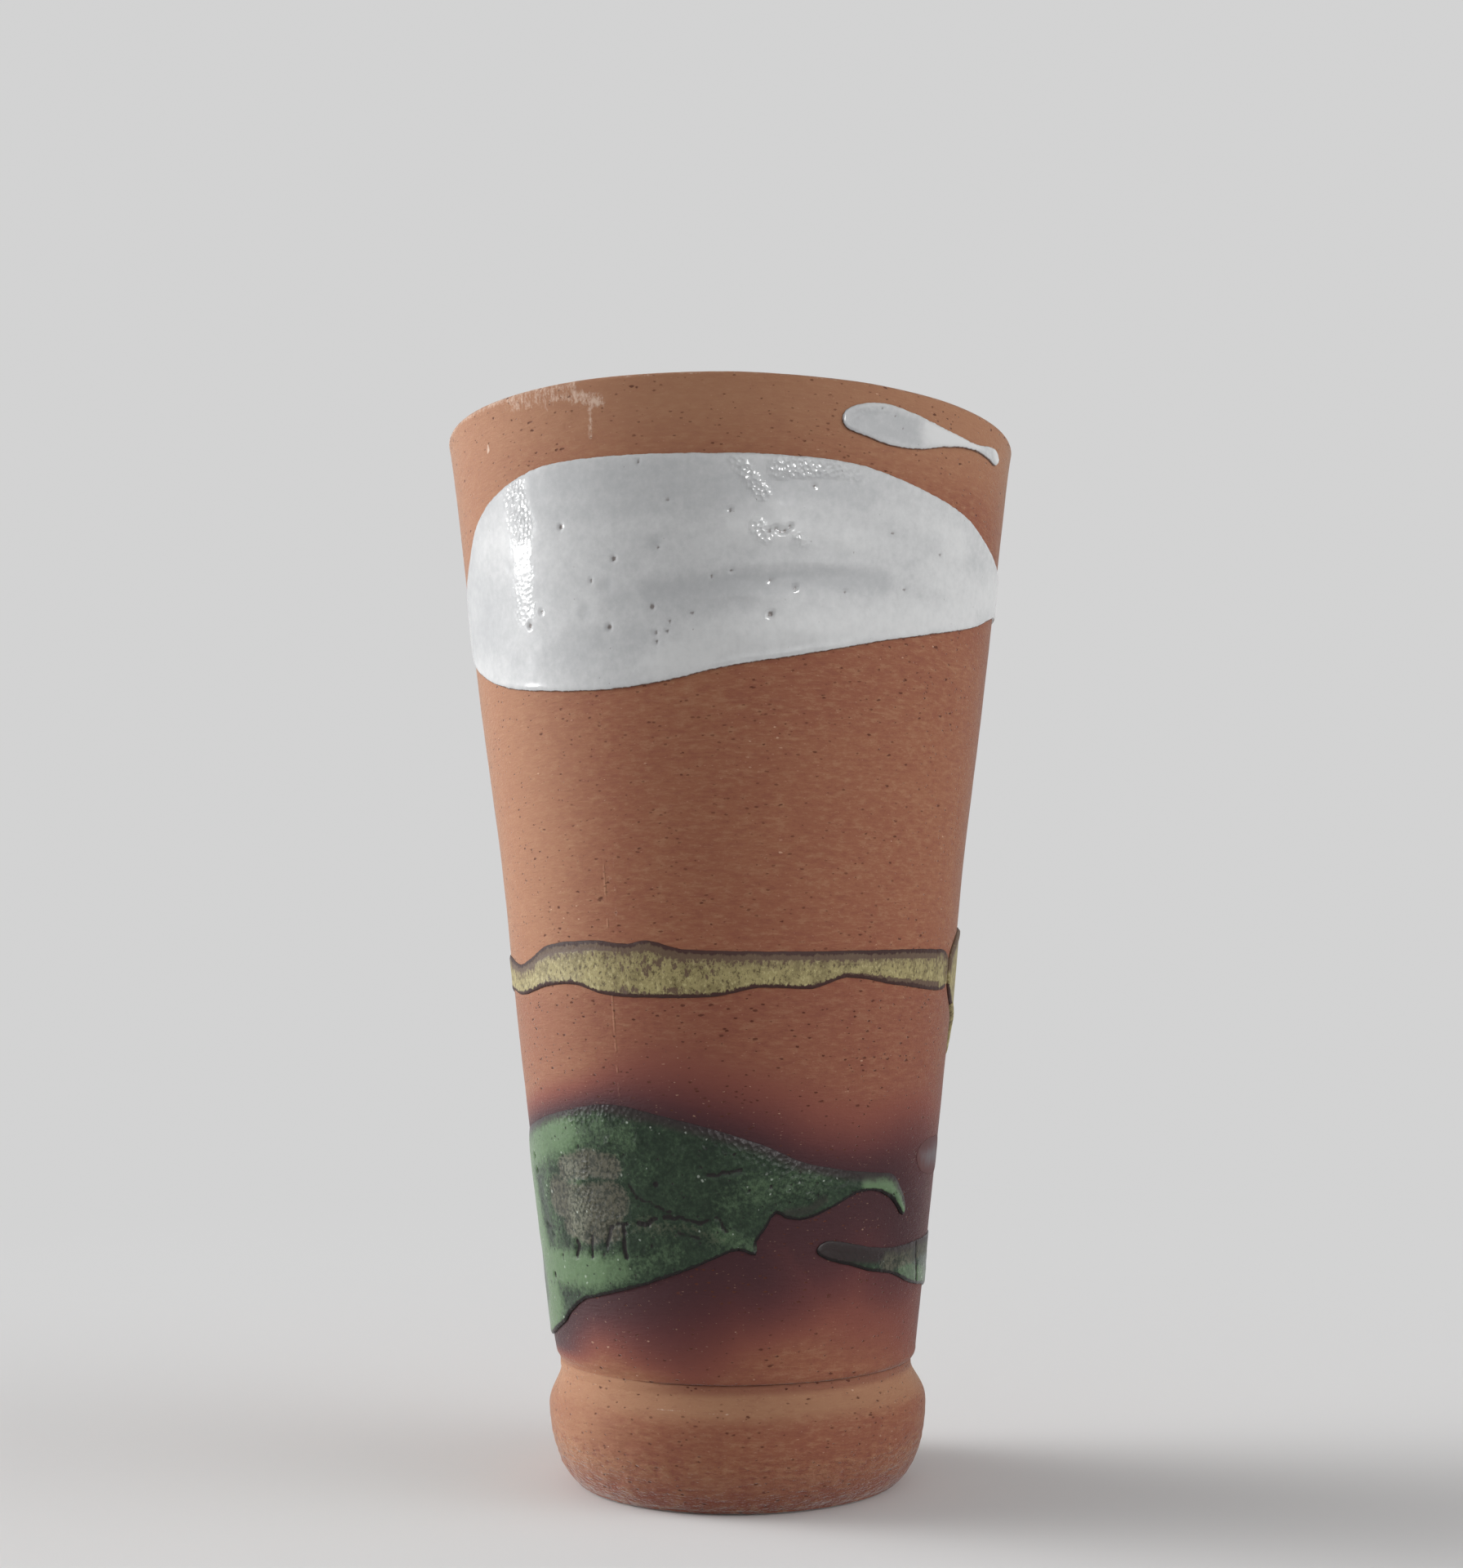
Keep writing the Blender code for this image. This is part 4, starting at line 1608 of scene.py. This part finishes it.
    def build(self) -> None:
        """Makes the coat, lays its marks and bends it onto the clay."""
        bm = self.refined(self.flat_sheet())
        inset, under = self.rim_measures(bm)
        flat = [(vert.co.x / self.reach, vert.co.z, -vert.co.y / self.foil) for vert in bm.verts]
        places = [FORM.on_wall(turn, z) for turn, z, _ in flat]
        painter = Painter(places)
        painter.lay(self.marks)
        thin, pooled, pit = map(painter.layer, (Trait.THIN, Trait.POOLED, Trait.PIT))
        for i, vert in enumerate(bm.verts):
            turn, z, front = flat[i]
            above = 1.0 - under[i]
            edge = 1.0 - min(1.0, inset[i] / (self.rim_width + self.upper_softness * above))
            full = math.sqrt(max(0.0, 1.0 - edge * edge))
            wave = noise.noise(places[i] * self.wave_scale) * self.wave_height
            depth = self.pool_gain * pooled[i] - self.thin_loss * thin[i]
            depth += self.bead * under[i] * math.exp(-((inset[i] / self.bead_width) ** 2))
            border = max(0.0, 1.0 - inset[i] / self.upper_reach) * above
            depth = self.thickness * (1.0 + depth - self.upper_thinning * border)
            pitted = 1.0 - self.pit_loss * min(1.0, pit[i])
            lift = (depth + wave) * full * pitted + self.least_lift
            vert.co = FORM.on_wall(turn, z, front * (lift + self.embed) - self.embed)
        bmesh.ops.recalc_face_normals(bm, faces=bm.faces[:])
        piece = make_piece(self.name, bm, self.finish, self.node)
        border = [min(away / MM, self.border_limit) for away in inset]
        painted = {trait.value: values for trait, values in painter.layers.items()}
        write_traits(piece, border=border, under=under, **painted)


WHITE_MARKS: tuple[Mark, ...] = (
    *strokes(
        Trait.THIN,
        (((-60, 182), (-45, 183), (-20, 182), (0, 180), (24, 179)), 0.5, 7.0, 0.5),
        (((-48, 178.5), (-25, 177.2), (0, 176.4), (24, 175.5), (44, 173)), 0.3, 3.6, 0.4),
        (((-16, 161.6), (-6, 162.4), (6, 163.2), (18, 164.2), (31, 164.8)), 0.5, 3.0, 0.7),
        (((-22, 160.2), (-8, 159.6), (2, 161)), 0.3, 4.2, 0.4),
        (((-50.9, 169.5),), 0.3, 1.8, 0.5),
        (((-75, 176), (-74, 164), (-60, 160), (-52, 158)), 5.0, 11.0, 0.45),
        (((-46, 152.5), (-34, 153), (-18, 154)), 0.6, 5.0, 0.4),
    ),
    *strokes(
        Trait.THIN,
        (((-30.4, 159.3), (-25.4, 163.8), (-14.6, 170.7)), 0.1, 2.2, 0.6),
        dots=True,
    ),
    *strokes(
        Trait.POOLED,
        (((-76, 154), (-66, 152), (-56, 150.5)), 0.3, 5.0, 0.4),
        (((-14, 150.5), (10, 154), (35, 158), (60, 162)), 0.4, 5.6, 0.6),
        (((44, 168), (60, 166), (75, 168), (88, 168)), 0.6, 6.0, 0.5),
        (((2, 174), (16, 173.5), (34, 174), (52, 174)), 0.8, 5.4, 0.45),
    ),
    *strokes(
        Trait.PIT,
        (
            ((-34.9, 174.7), (-23.3, 168.2), (-15.7, 159.4), (-25.0, 156.4), (-45.7, 158.5),
             (7.7, 157.8)),
            0.24, 0.5, 1.0,
        ),
        (
            ((-28.6, 164.7), (-14.0, 169.6), (-41.8, 160.5), (-12.8, 155.0), (-15.1, 154.9),
             (-15.0, 153.3), (-12.2, 156.7), (-7.7, 158.0), (-3.7, 164.3), (0.1, 165.3),
             (-17.3, 184.6), (7.6, 163.7), (12.5, 162.5), (22.9, 162.3), (33.0, 173.8),
             (46.2, 171.6), (-0.1, 175.7), (36.8, 164.0), (7.3, 172.3), (8.6, 172.7), (9.5, 172.2),
             (10.4, 172.4), (11.3, 173.2), (15.8, 180.5), (-11.9, 177.8)),
            0.13, 0.46, 0.85,
        ),
        dots=True,
    ),
    *strokes(
        Trait.RIPPLED,
        (((1, 184.5), (4, 181), (6, 178.8)), 0.8, 1.0, 1.0),
        (((9, 183.5), (14, 184), (20, 184.4), (24, 184)), 1.2, 1.4, 1.0),
        (((5, 173), (6.5, 171.2)), 0.8, 1.0, 1.0),
        (((13, 171.5), (14.2, 170.5)), 0.4, 0.7, 1.0),
        (((-48, 186), (-47, 179), (-46, 176)), 1.6, 2.6, 0.8),
        (((-46, 176), (-46.5, 167), (-47.5, 161)), 1.6, 3.0, 0.22),
    ),
)

DRIP_MARKS: tuple[Mark, ...] = (
    *strokes(
        Trait.THIN,
        (((24, 193), (30, 193), (37, 192.5)), 1.5, 1.8, 0.6),
    ),
    *strokes(
        Trait.POOLED,
        (((40, 193), (46, 193), (54, 193.4)), 0.5, 3.0, 1.1),
        (((64, 194.3), (66, 193.2)), 0.6, 0.8, 1.0),
    ),
    *strokes(
        Trait.PIT,
        (((32, 194.8), (34, 193.0), (29, 195.6)), 0.1, 0.35, 0.8),
        dots=True,
    ),
    *strokes(
        Trait.RIPPLED,
        (((23, 192), (24, 195), (30, 196)), 0.5, 0.8, 0.6),
    ),
)

BAND_MARKS: tuple[Mark, ...] = (
    *strokes(
        Trait.THIN,
        (
            ((-75, 98.0), (-66, 97.2), (-58, 98.8), (-50, 100.4), (-35, 100.9), (-20, 100.6),
             (-12, 99.0)),
            0.75, 0.8,
        ),
        (((-12, 99.0), (12, 98.6), (39, 98.9), (60, 99.2)), 0.6, 0.7),
        (((-30, 98.0), (-20, 97.0), (-8, 96.6), (0, 97.4)), 1.2, 2.4, 0.36),
        (((-28, 92.6), (-18, 91.8), (-8, 92.4)), 0.5, 1.4, 0.4),
        (((28, 94.8), (45, 93.7), (62, 93.2)), 0.35, 0.6),
        (((-110, 99.4), (-140, 98.2), (-180, 99.4), (-225, 99.0)), 0.6, 0.7),
    ),
    *strokes(
        Trait.POOLED,
        (((68.4, 98.6), (68.9, 96.6), (68, 94.6)), 0.7, 0.7),
    ),
)

SPLASH_MARKS: tuple[Mark, ...] = (
    *strokes(
        Trait.POOLED,
        (((84, 103.8), (76, 101.6), (70.6, 98.8), (69.8, 96.6), (70.6, 94.6)), 0.7, 0.7),
        (((78, 88.9), (87, 85.2), (90.8, 81.9), (93.8, 79.5)), 0.8, 0.7),
    ),
    *strokes(
        Trait.THIN,
        (((86, 102.4), (92, 103.2), (104, 101)), 0.5, 0.8),
    ),
)

POOL_MARKS: tuple[Mark, ...] = (
    *strokes(
        Trait.THIN,
        (((-52, 60), (-42, 61.6), (-34.5, 61)), 1.2, 2.6, 1.1),
        (((-57, 55), (-46, 54), (-34.5, 55)), 2.2, 3.0, 1.1),
        (((-52, 50), (-44, 49), (-35, 50)), 1.2, 2.3, 1.0),
        (((-36, 49.5), (-24, 51.5)), 0.8, 2.6, 0.35),
        (((-22, 50.6), (-12, 50.2), (-6, 48.8)), 0.5, 2.2, 0.4),
    ),
    *strokes(
        Trait.POOLED,
        (((-88, 60), (-74, 62), (-62, 65), (-50, 67)), 1.0, 6.0, 1.1),
        (((-50, 67), (-40, 67.5), (-30, 66)), 0.4, 5.0, 0.5),
        (((-80, 58), (-76, 48), (-71, 42), (-68, 35), (-74, 30)), 1.8, 5.0, 1.1),
        (((-122, 58), (-108, 60), (-94, 58), (-84, 54)), 1.5, 9.0, 0.8),
        (((-114, 48), (-100, 42), (-90, 36), (-84, 32)), 1.0, 7.0, 0.75),
        (((-64, 58), (-62, 50), (-61, 46)), 0.5, 4.6, 0.4),
        (((-68, 41.5), (-55, 42), (-42, 42.2)), 1.2, 4.6, 1.15),
        (((-42, 42.2), (-34, 42.8)), 0.8, 4.4, 0.85),
        (((-34, 43), (-26, 44.5), (-18, 46)), 0.4, 3.6, 0.35),
        (((-50, 61), (-48, 54), (-49, 49)), 0.5, 4.6, 0.75),
        (((-31, 62), (-24, 60)), 0.5, 4.0, 0.15),
        (((-2, 56), (8, 58), (22, 57.5)), 0.5, 4.0, 0.34),
        (((-4, 50), (2, 48), (6, 46.6)), 0.4, 2.6, 0.45),
        (((38, 57.6), (45, 57.3), (50, 56.2), (54, 53)), 0.5, 1.8, 1.15),
    ),
    *strokes(
        Trait.SMOKED,
        (((-84, 66.8), (-68, 69), (-50, 71), (-34, 72.2)), 0.2, 1.6, 0.8),
        (((-34, 72), (-18, 70), (-4, 67.5), (8, 65), (18, 62)), 0.4, 2.8, 0.8),
        (((18, 62), (31, 59.9), (40, 59.2)), 0.4, 2.2, 0.8),
        (((24, 55.5), (20, 53.6), (14, 53.2)), 0.3, 1.6, 0.6),
    ),
    *strokes(
        Trait.RIPPLED,
        (
            ((-50, 70), (-34, 71), (-18, 69), (-4, 66), (8, 63), (20, 59.5), (34, 58.5)),
            0.4, 2.8, 0.6,
        ),
        (((-46, 58), (-40, 52), (-30, 50), (-18, 50)), 0.6, 3.2, 0.5),
    ),
    *strokes(
        Trait.PIT,
        (((-72.1, 61.6), (-71.4, 59.0), (-65.0, 40.0), (-21.0, 58.3)), 0.32, 0.5, 1.0),
        (
            ((-52.8, 62.5), (-45.5, 64.4), (-22.9, 47.4), (-32.1, 49.8), (-2.3, 67.7), (0.0, 63.7),
             (3.8, 57.4), (9.5, 58.0), (-30, 63.4), (48.6, 55.4), (-58, 44.0)),
            0.15, 0.4, 0.8,
        ),
        dots=True,
    ),
    *strokes(
        Trait.PIT,
        (((-67.2, 49.6), (-64.5, 48.9), (-61.8, 47.5)), 0.1, 0.45, 0.8),
        (((-49.4, 47.4), (-50.0, 44.2)), 0.2, 0.5, 1.0),
        (((-43.1, 48.2), (-43.6, 44.8)), 0.16, 0.5, 1.0),
        (((-35.3, 50.9), (-30.5, 51.0)), 0.12, 0.5, 0.9),
        (((-35.4, 50.6), (-37.6, 46.6)), 0.22, 0.5, 1.0),
        (((-31.9, 50.4), (-31.7, 48.6), (-31.2, 45.2)), 0.18, 0.5, 1.0),
        (((-27.1, 51.6), (-21.2, 51.9)), 0.15, 0.5, 1.0),
        (((-19.1, 52.7), (-13, 52.0), (-7.0, 52.1)), 0.12, 0.5, 0.85),
        (((-4.6, 52.5), (-2.8, 50.7)), 0.12, 0.5, 0.8),
        (((-16.8, 50.5), (-12.4, 49.4), (-9.5, 48.6)), 0.1, 0.5, 0.8),
        (((-29.1, 58.4), (-27.2, 55.9), (-24.1, 55.1), (-17, 53.4)), 0.1, 0.6, 0.75),
        (((-6.8, 59.7), (-0.3, 60.9), (1.9, 60.8)), 0.1, 0.5, 0.8),
        wander=0.7,
    ),
    # Rippled spots, which also carry the painted glints.
    *strokes(
        Trait.RIPPLED,
        (
            ((-45.4, 70.3), (-35.1, 70.8), (-35.3, 69.8), (-47.1, 68.8), (-34.4, 65.7),
             (-41.9, 68.9), (-25.4, 65.9), (-23.9, 69.4), (-3.0, 63.5), (-8.4, 65.1),
             (-13.8, 64.6), (-43.3, 63.0), (-43.4, 61.3), (-43.5, 59.5), (14, 57), (20, 56)),
            0.3, 0.9, 1.0,
        ),
        dots=True,
    ),
)

STREAK_MARKS: tuple[Mark, ...] = (
    *strokes(
        Trait.SMOKED,
        (((24, 46.5), (32, 45.8), (44, 45.2)), 1.2, 2.0, 0.9),
        (((44, 45.8), (60, 45.6), (80, 46)), 0.3, 1.0, 0.6),
    ),
    *strokes(
        Trait.THIN,
        (((48, 43.0), (58, 43.6), (70, 44.5), (90, 44)), 1.0, 1.8, 0.9),
    ),
    *strokes(
        Trait.POOLED,
        (((56, 41.5), (66, 39.6), (80, 38.2), (95, 38)), 0.8, 1.8, 0.7),
    ),
    *strokes(
        Trait.PIT,
        (((64.6, 45.6), (65.8, 42), (67.1, 38.7)), 0.14, 0.45, 1.0),
    ),
    *strokes(
        Trait.PIT,
        (((45.3, 44.3), (52, 43.2)), 0.12, 0.4, 0.8),
        dots=True,
    ),
)


# ------------------------------------------------------------------ studio


def way(azimuth: float, elevation: float) -> Vector:
    """Finds a direction.

    Args:
        azimuth: its angle in degrees from the front towards +X.
        elevation: its height in degrees.

    Returns:
        The direction, one long.
    """
    turn, tilt = math.radians(azimuth), math.radians(elevation)
    across = math.cos(tilt)
    return Vector((math.sin(turn) * across, -math.cos(turn) * across, math.sin(tilt)))


@dataclass(frozen=True)
class Glow:
    """A wide soft brightening of the room.

    Attributes:
        azimuth: its middle, in degrees from the front towards +X.
        elevation: its height, in degrees.
        strength: how much brighter its middle is.
        tightness: how fast it falls off.
    """

    azimuth: float
    elevation: float
    strength: float
    tightness: float

    def shine(self, wiring: Wiring, toward: Flow) -> Flow:
        """Wires the glow, which fades away from its middle.

        Args:
            wiring: the world's wiring.
            toward: the direction looked in.

        Returns:
            How much light comes from there.
        """
        ends = {0: toward, 1: way(self.azimuth, self.elevation)}
        facing = wiring.vector("DOT_PRODUCT", ends, "Value").most(0.0)
        return wiring.math("POWER", facing, self.tightness) * self.strength


@dataclass(frozen=True)
class Lamp:
    """A small lamp that a gloss shows as a glint.

    Attributes:
        name: what it is for.
        place: where it stands.
        target: what it looks at.
        width: its width in metres.
        height: its height in metres.
        power: its strength in watts.
    """

    name: str
    place: tuple[float, float, float]
    target: tuple[float, float, float]
    width: float
    height: float
    power: float

    def hang(self) -> None:
        """Puts the lamp in the scene."""
        light = bpy.data.lights.new(self.name, "AREA")
        light.shape = "RECTANGLE"
        light.size, light.size_y = self.width, self.height
        light.energy = self.power
        lamp = bpy.data.objects.new(self.name, light)
        aim = Vector(self.target) - Vector(self.place)
        turn = aim.to_track_quat("-Z", "Y").to_matrix().to_4x4()
        lamp.matrix_world = Matrix.Translation(self.place) @ turn
        lamp.visible_camera = lamp.visible_diffuse = False
        bpy.context.scene.collection.objects.link(lamp)


@dataclass
class Studio:
    """A plain pale floor, a pale background, a soft room, small lamps and the camera."""

    backdrop: Colour = (0.65, 0.65, 0.65)
    floor_colour: Colour = (0.76, 0.76, 0.76)
    floor_roughness: float = 0.9
    floor_radius: float = 3.0
    floor_fades: Place = (0.12, 0.60)
    sky: float = 0.28
    camera_distance: float = 0.40273
    camera_height: float = 0.09166
    camera_near: float = 0.01
    pitch: float = 0.1027
    yaw: float = -0.00032
    roll: float = -0.00588
    lens: float = 46.875
    sensor: float = 36.0
    glows: tuple[Glow, ...] = (Glow(-103.4, 10.0, 20.4, 19.8), Glow(72.0, 10.0, 4.9, 10.6))
    gleam: Glow = Glow(27.0, 9.0, 3.2, 6.0)
    lamps: tuple[Lamp, ...] = (
        Lamp("low_pane", (-0.632, 0.030, 0.2060), (-0.037, -0.036, 0.171), 0.100, 0.021, 0.17),
        Lamp("high_pane", (-0.632, 0.030, 0.2365), (-0.037, -0.036, 0.183), 0.110, 0.023, 0.20),
        Lamp("glint", (0.36, -0.92, 0.33), (0.012, -0.05, 0.18), 0.06, 0.06, 1.3),
    )

    def build(self) -> None:
        """Sets the whole studio."""
        self.lay_floor()
        self.light_room()
        for lamp in self.lamps:
            lamp.hang()
        self.set_camera()
        bpy.context.scene.view_settings.view_transform = "Standard"

    @staticmethod
    def show(wiring: Wiring, share: Flow, first: Flow, second: Flow, end: str) -> None:
        """Mixes two lights or surfaces by a share and sends them to the tree's output."""
        mixed = wiring.put("MixShader", {0: share, 1: first, 2: second})
        wiring.plug(wiring.tree.nodes[end], {"Surface": mixed})

    @staticmethod
    def seen_rays(wiring: Wiring) -> Flow:
        """1 for rays that show the background itself, also in a gloss or through glass."""
        ray = wiring.put("LightPath", {}, "Is Camera Ray")
        return ray.most(ray.out("Is Glossy Ray")).most(ray.out("Is Transmission Ray"))

    def lay_floor(self) -> None:
        """A wide floor that the camera sees fade into the background."""
        bm = bmesh.new()
        bmesh.ops.create_circle(bm, cap_ends=True, segments=64, radius=self.floor_radius)
        material = bpy.data.materials.new("studio_floor")
        material.use_nodes = True
        wiring = Wiring(material.node_tree)
        shader = material.node_tree.nodes["Principled BSDF"]
        matt = {"Base Color": (*self.floor_colour, 1.0), "Roughness": self.floor_roughness}
        wiring.plug(shader, matt)
        away = wiring.vector("LENGTH", {0: wiring.position()}, "Value")
        share = away.ease(*self.floor_fades) * self.seen_rays(wiring)
        pale = wiring.put("Emission", {"Color": (*self.backdrop, 1.0)})
        matt_floor = Flow(wiring, shader.outputs["BSDF"])
        self.show(wiring, share, matt_floor, pale, "Material Output")
        make_object("floor", bm, material)

    def light_room(self) -> None:
        """A pale room round the pot, brighter at both sides, behind a plain background."""
        world = bpy.data.worlds.new("room")
        world.use_nodes = True
        wiring = Wiring(world.node_tree)
        toward = wiring.put("TexCoord", {}, "Generated")
        light = self.sky
        for glow in self.glows:
            light = glow.shine(wiring, toward) + light
        background = world.node_tree.nodes["Background"]
        wiring.plug(background, {"Color": (1.0, 1.0, 1.0, 1.0), "Strength": light})
        room = Flow(wiring, background.outputs["Background"])
        gleam = self.gleam.shine(wiring, toward) * wiring.put("LightPath", {}, "Is Glossy Ray")
        plain = {"Color": (*self.backdrop, 1.0), "Strength": gleam + 1.0}
        backdrop = wiring.put("Background", plain)
        self.show(wiring, self.seen_rays(wiring), room, backdrop, "World Output")
        bpy.context.scene.world = world

    def set_camera(self) -> None:
        """The camera, low in front of the pot and tipped up a little."""
        lens = bpy.data.cameras.new("camera")
        lens.sensor_fit = "AUTO"
        lens.sensor_width = self.sensor
        lens.lens = self.lens
        lens.clip_start = self.camera_near
        camera = bpy.data.objects.new("camera", lens)
        camera.matrix_world = (
            Matrix.Translation((0.0, -self.camera_distance, self.camera_height))
            @ Matrix.Rotation(-self.yaw, 4, "Z")
            @ Matrix.Rotation(math.pi / 2.0 + self.pitch, 4, "X")
            @ Matrix.Rotation(self.roll, 4, "Z")
        )
        bpy.context.scene.collection.objects.link(camera)
        bpy.context.scene.camera = camera


def main() -> None:
    """Builds the vase and the studio round it."""
    logging.basicConfig(level=logging.INFO, format="%(name)s: %(message)s")
    noise.seed_set(WANDER_SEED)
    effects = Effects()
    white = WhiteFinish().material(Slot.WHITE, effects)
    ochre = OchreFinish().material(Slot.OCHRE, effects)
    green = GreenFinish().material(Slot.GREEN, effects)
    film = BlueGreyFinish().material(Slot.BLUE_GREY, effects)
    ClayPot(ClayFinish().material(Slot.CLAY, effects)).build()
    GlazeLining(LiningFinish().material(Slot.LINING, effects)).build()
    shapes = GlazeOutlines
    veiled = {"dice": 0.0017, "upper_thinning": 0.6, "upper_softness": 0.0012}
    for name, outline, finish, thickness, marks, sizes in (
        ("white_pour", shapes.WHITE_POUR, white, 0.00042, WHITE_MARKS, {"dice": 0.0017}),
        ("white_drip", shapes.WHITE_DRIP, white, 0.00042, DRIP_MARKS, {}),
        ("ochre_band", shapes.OCHRE_BAND, ochre, 0.00030, BAND_MARKS, {}),
        ("ochre_splash", shapes.OCHRE_SPLASH, ochre, 0.00045, SPLASH_MARKS, {}),
        ("green_pool", shapes.GREEN_POOL, green, 0.00036, POOL_MARKS, veiled),
        ("green_streak", shapes.GREEN_STREAK, green, 0.00032, STREAK_MARKS, {}),
        ("blue_grey_film", shapes.BLUE_GREY_SPOT, film, 0.00012, (), {"rim_width": 0.0016}),
    ):
        GlazeCoat(name, NODES[name], outline, finish, thickness, marks, **sizes).build()
    Studio().build()


if __name__ == "__main__":
    main()
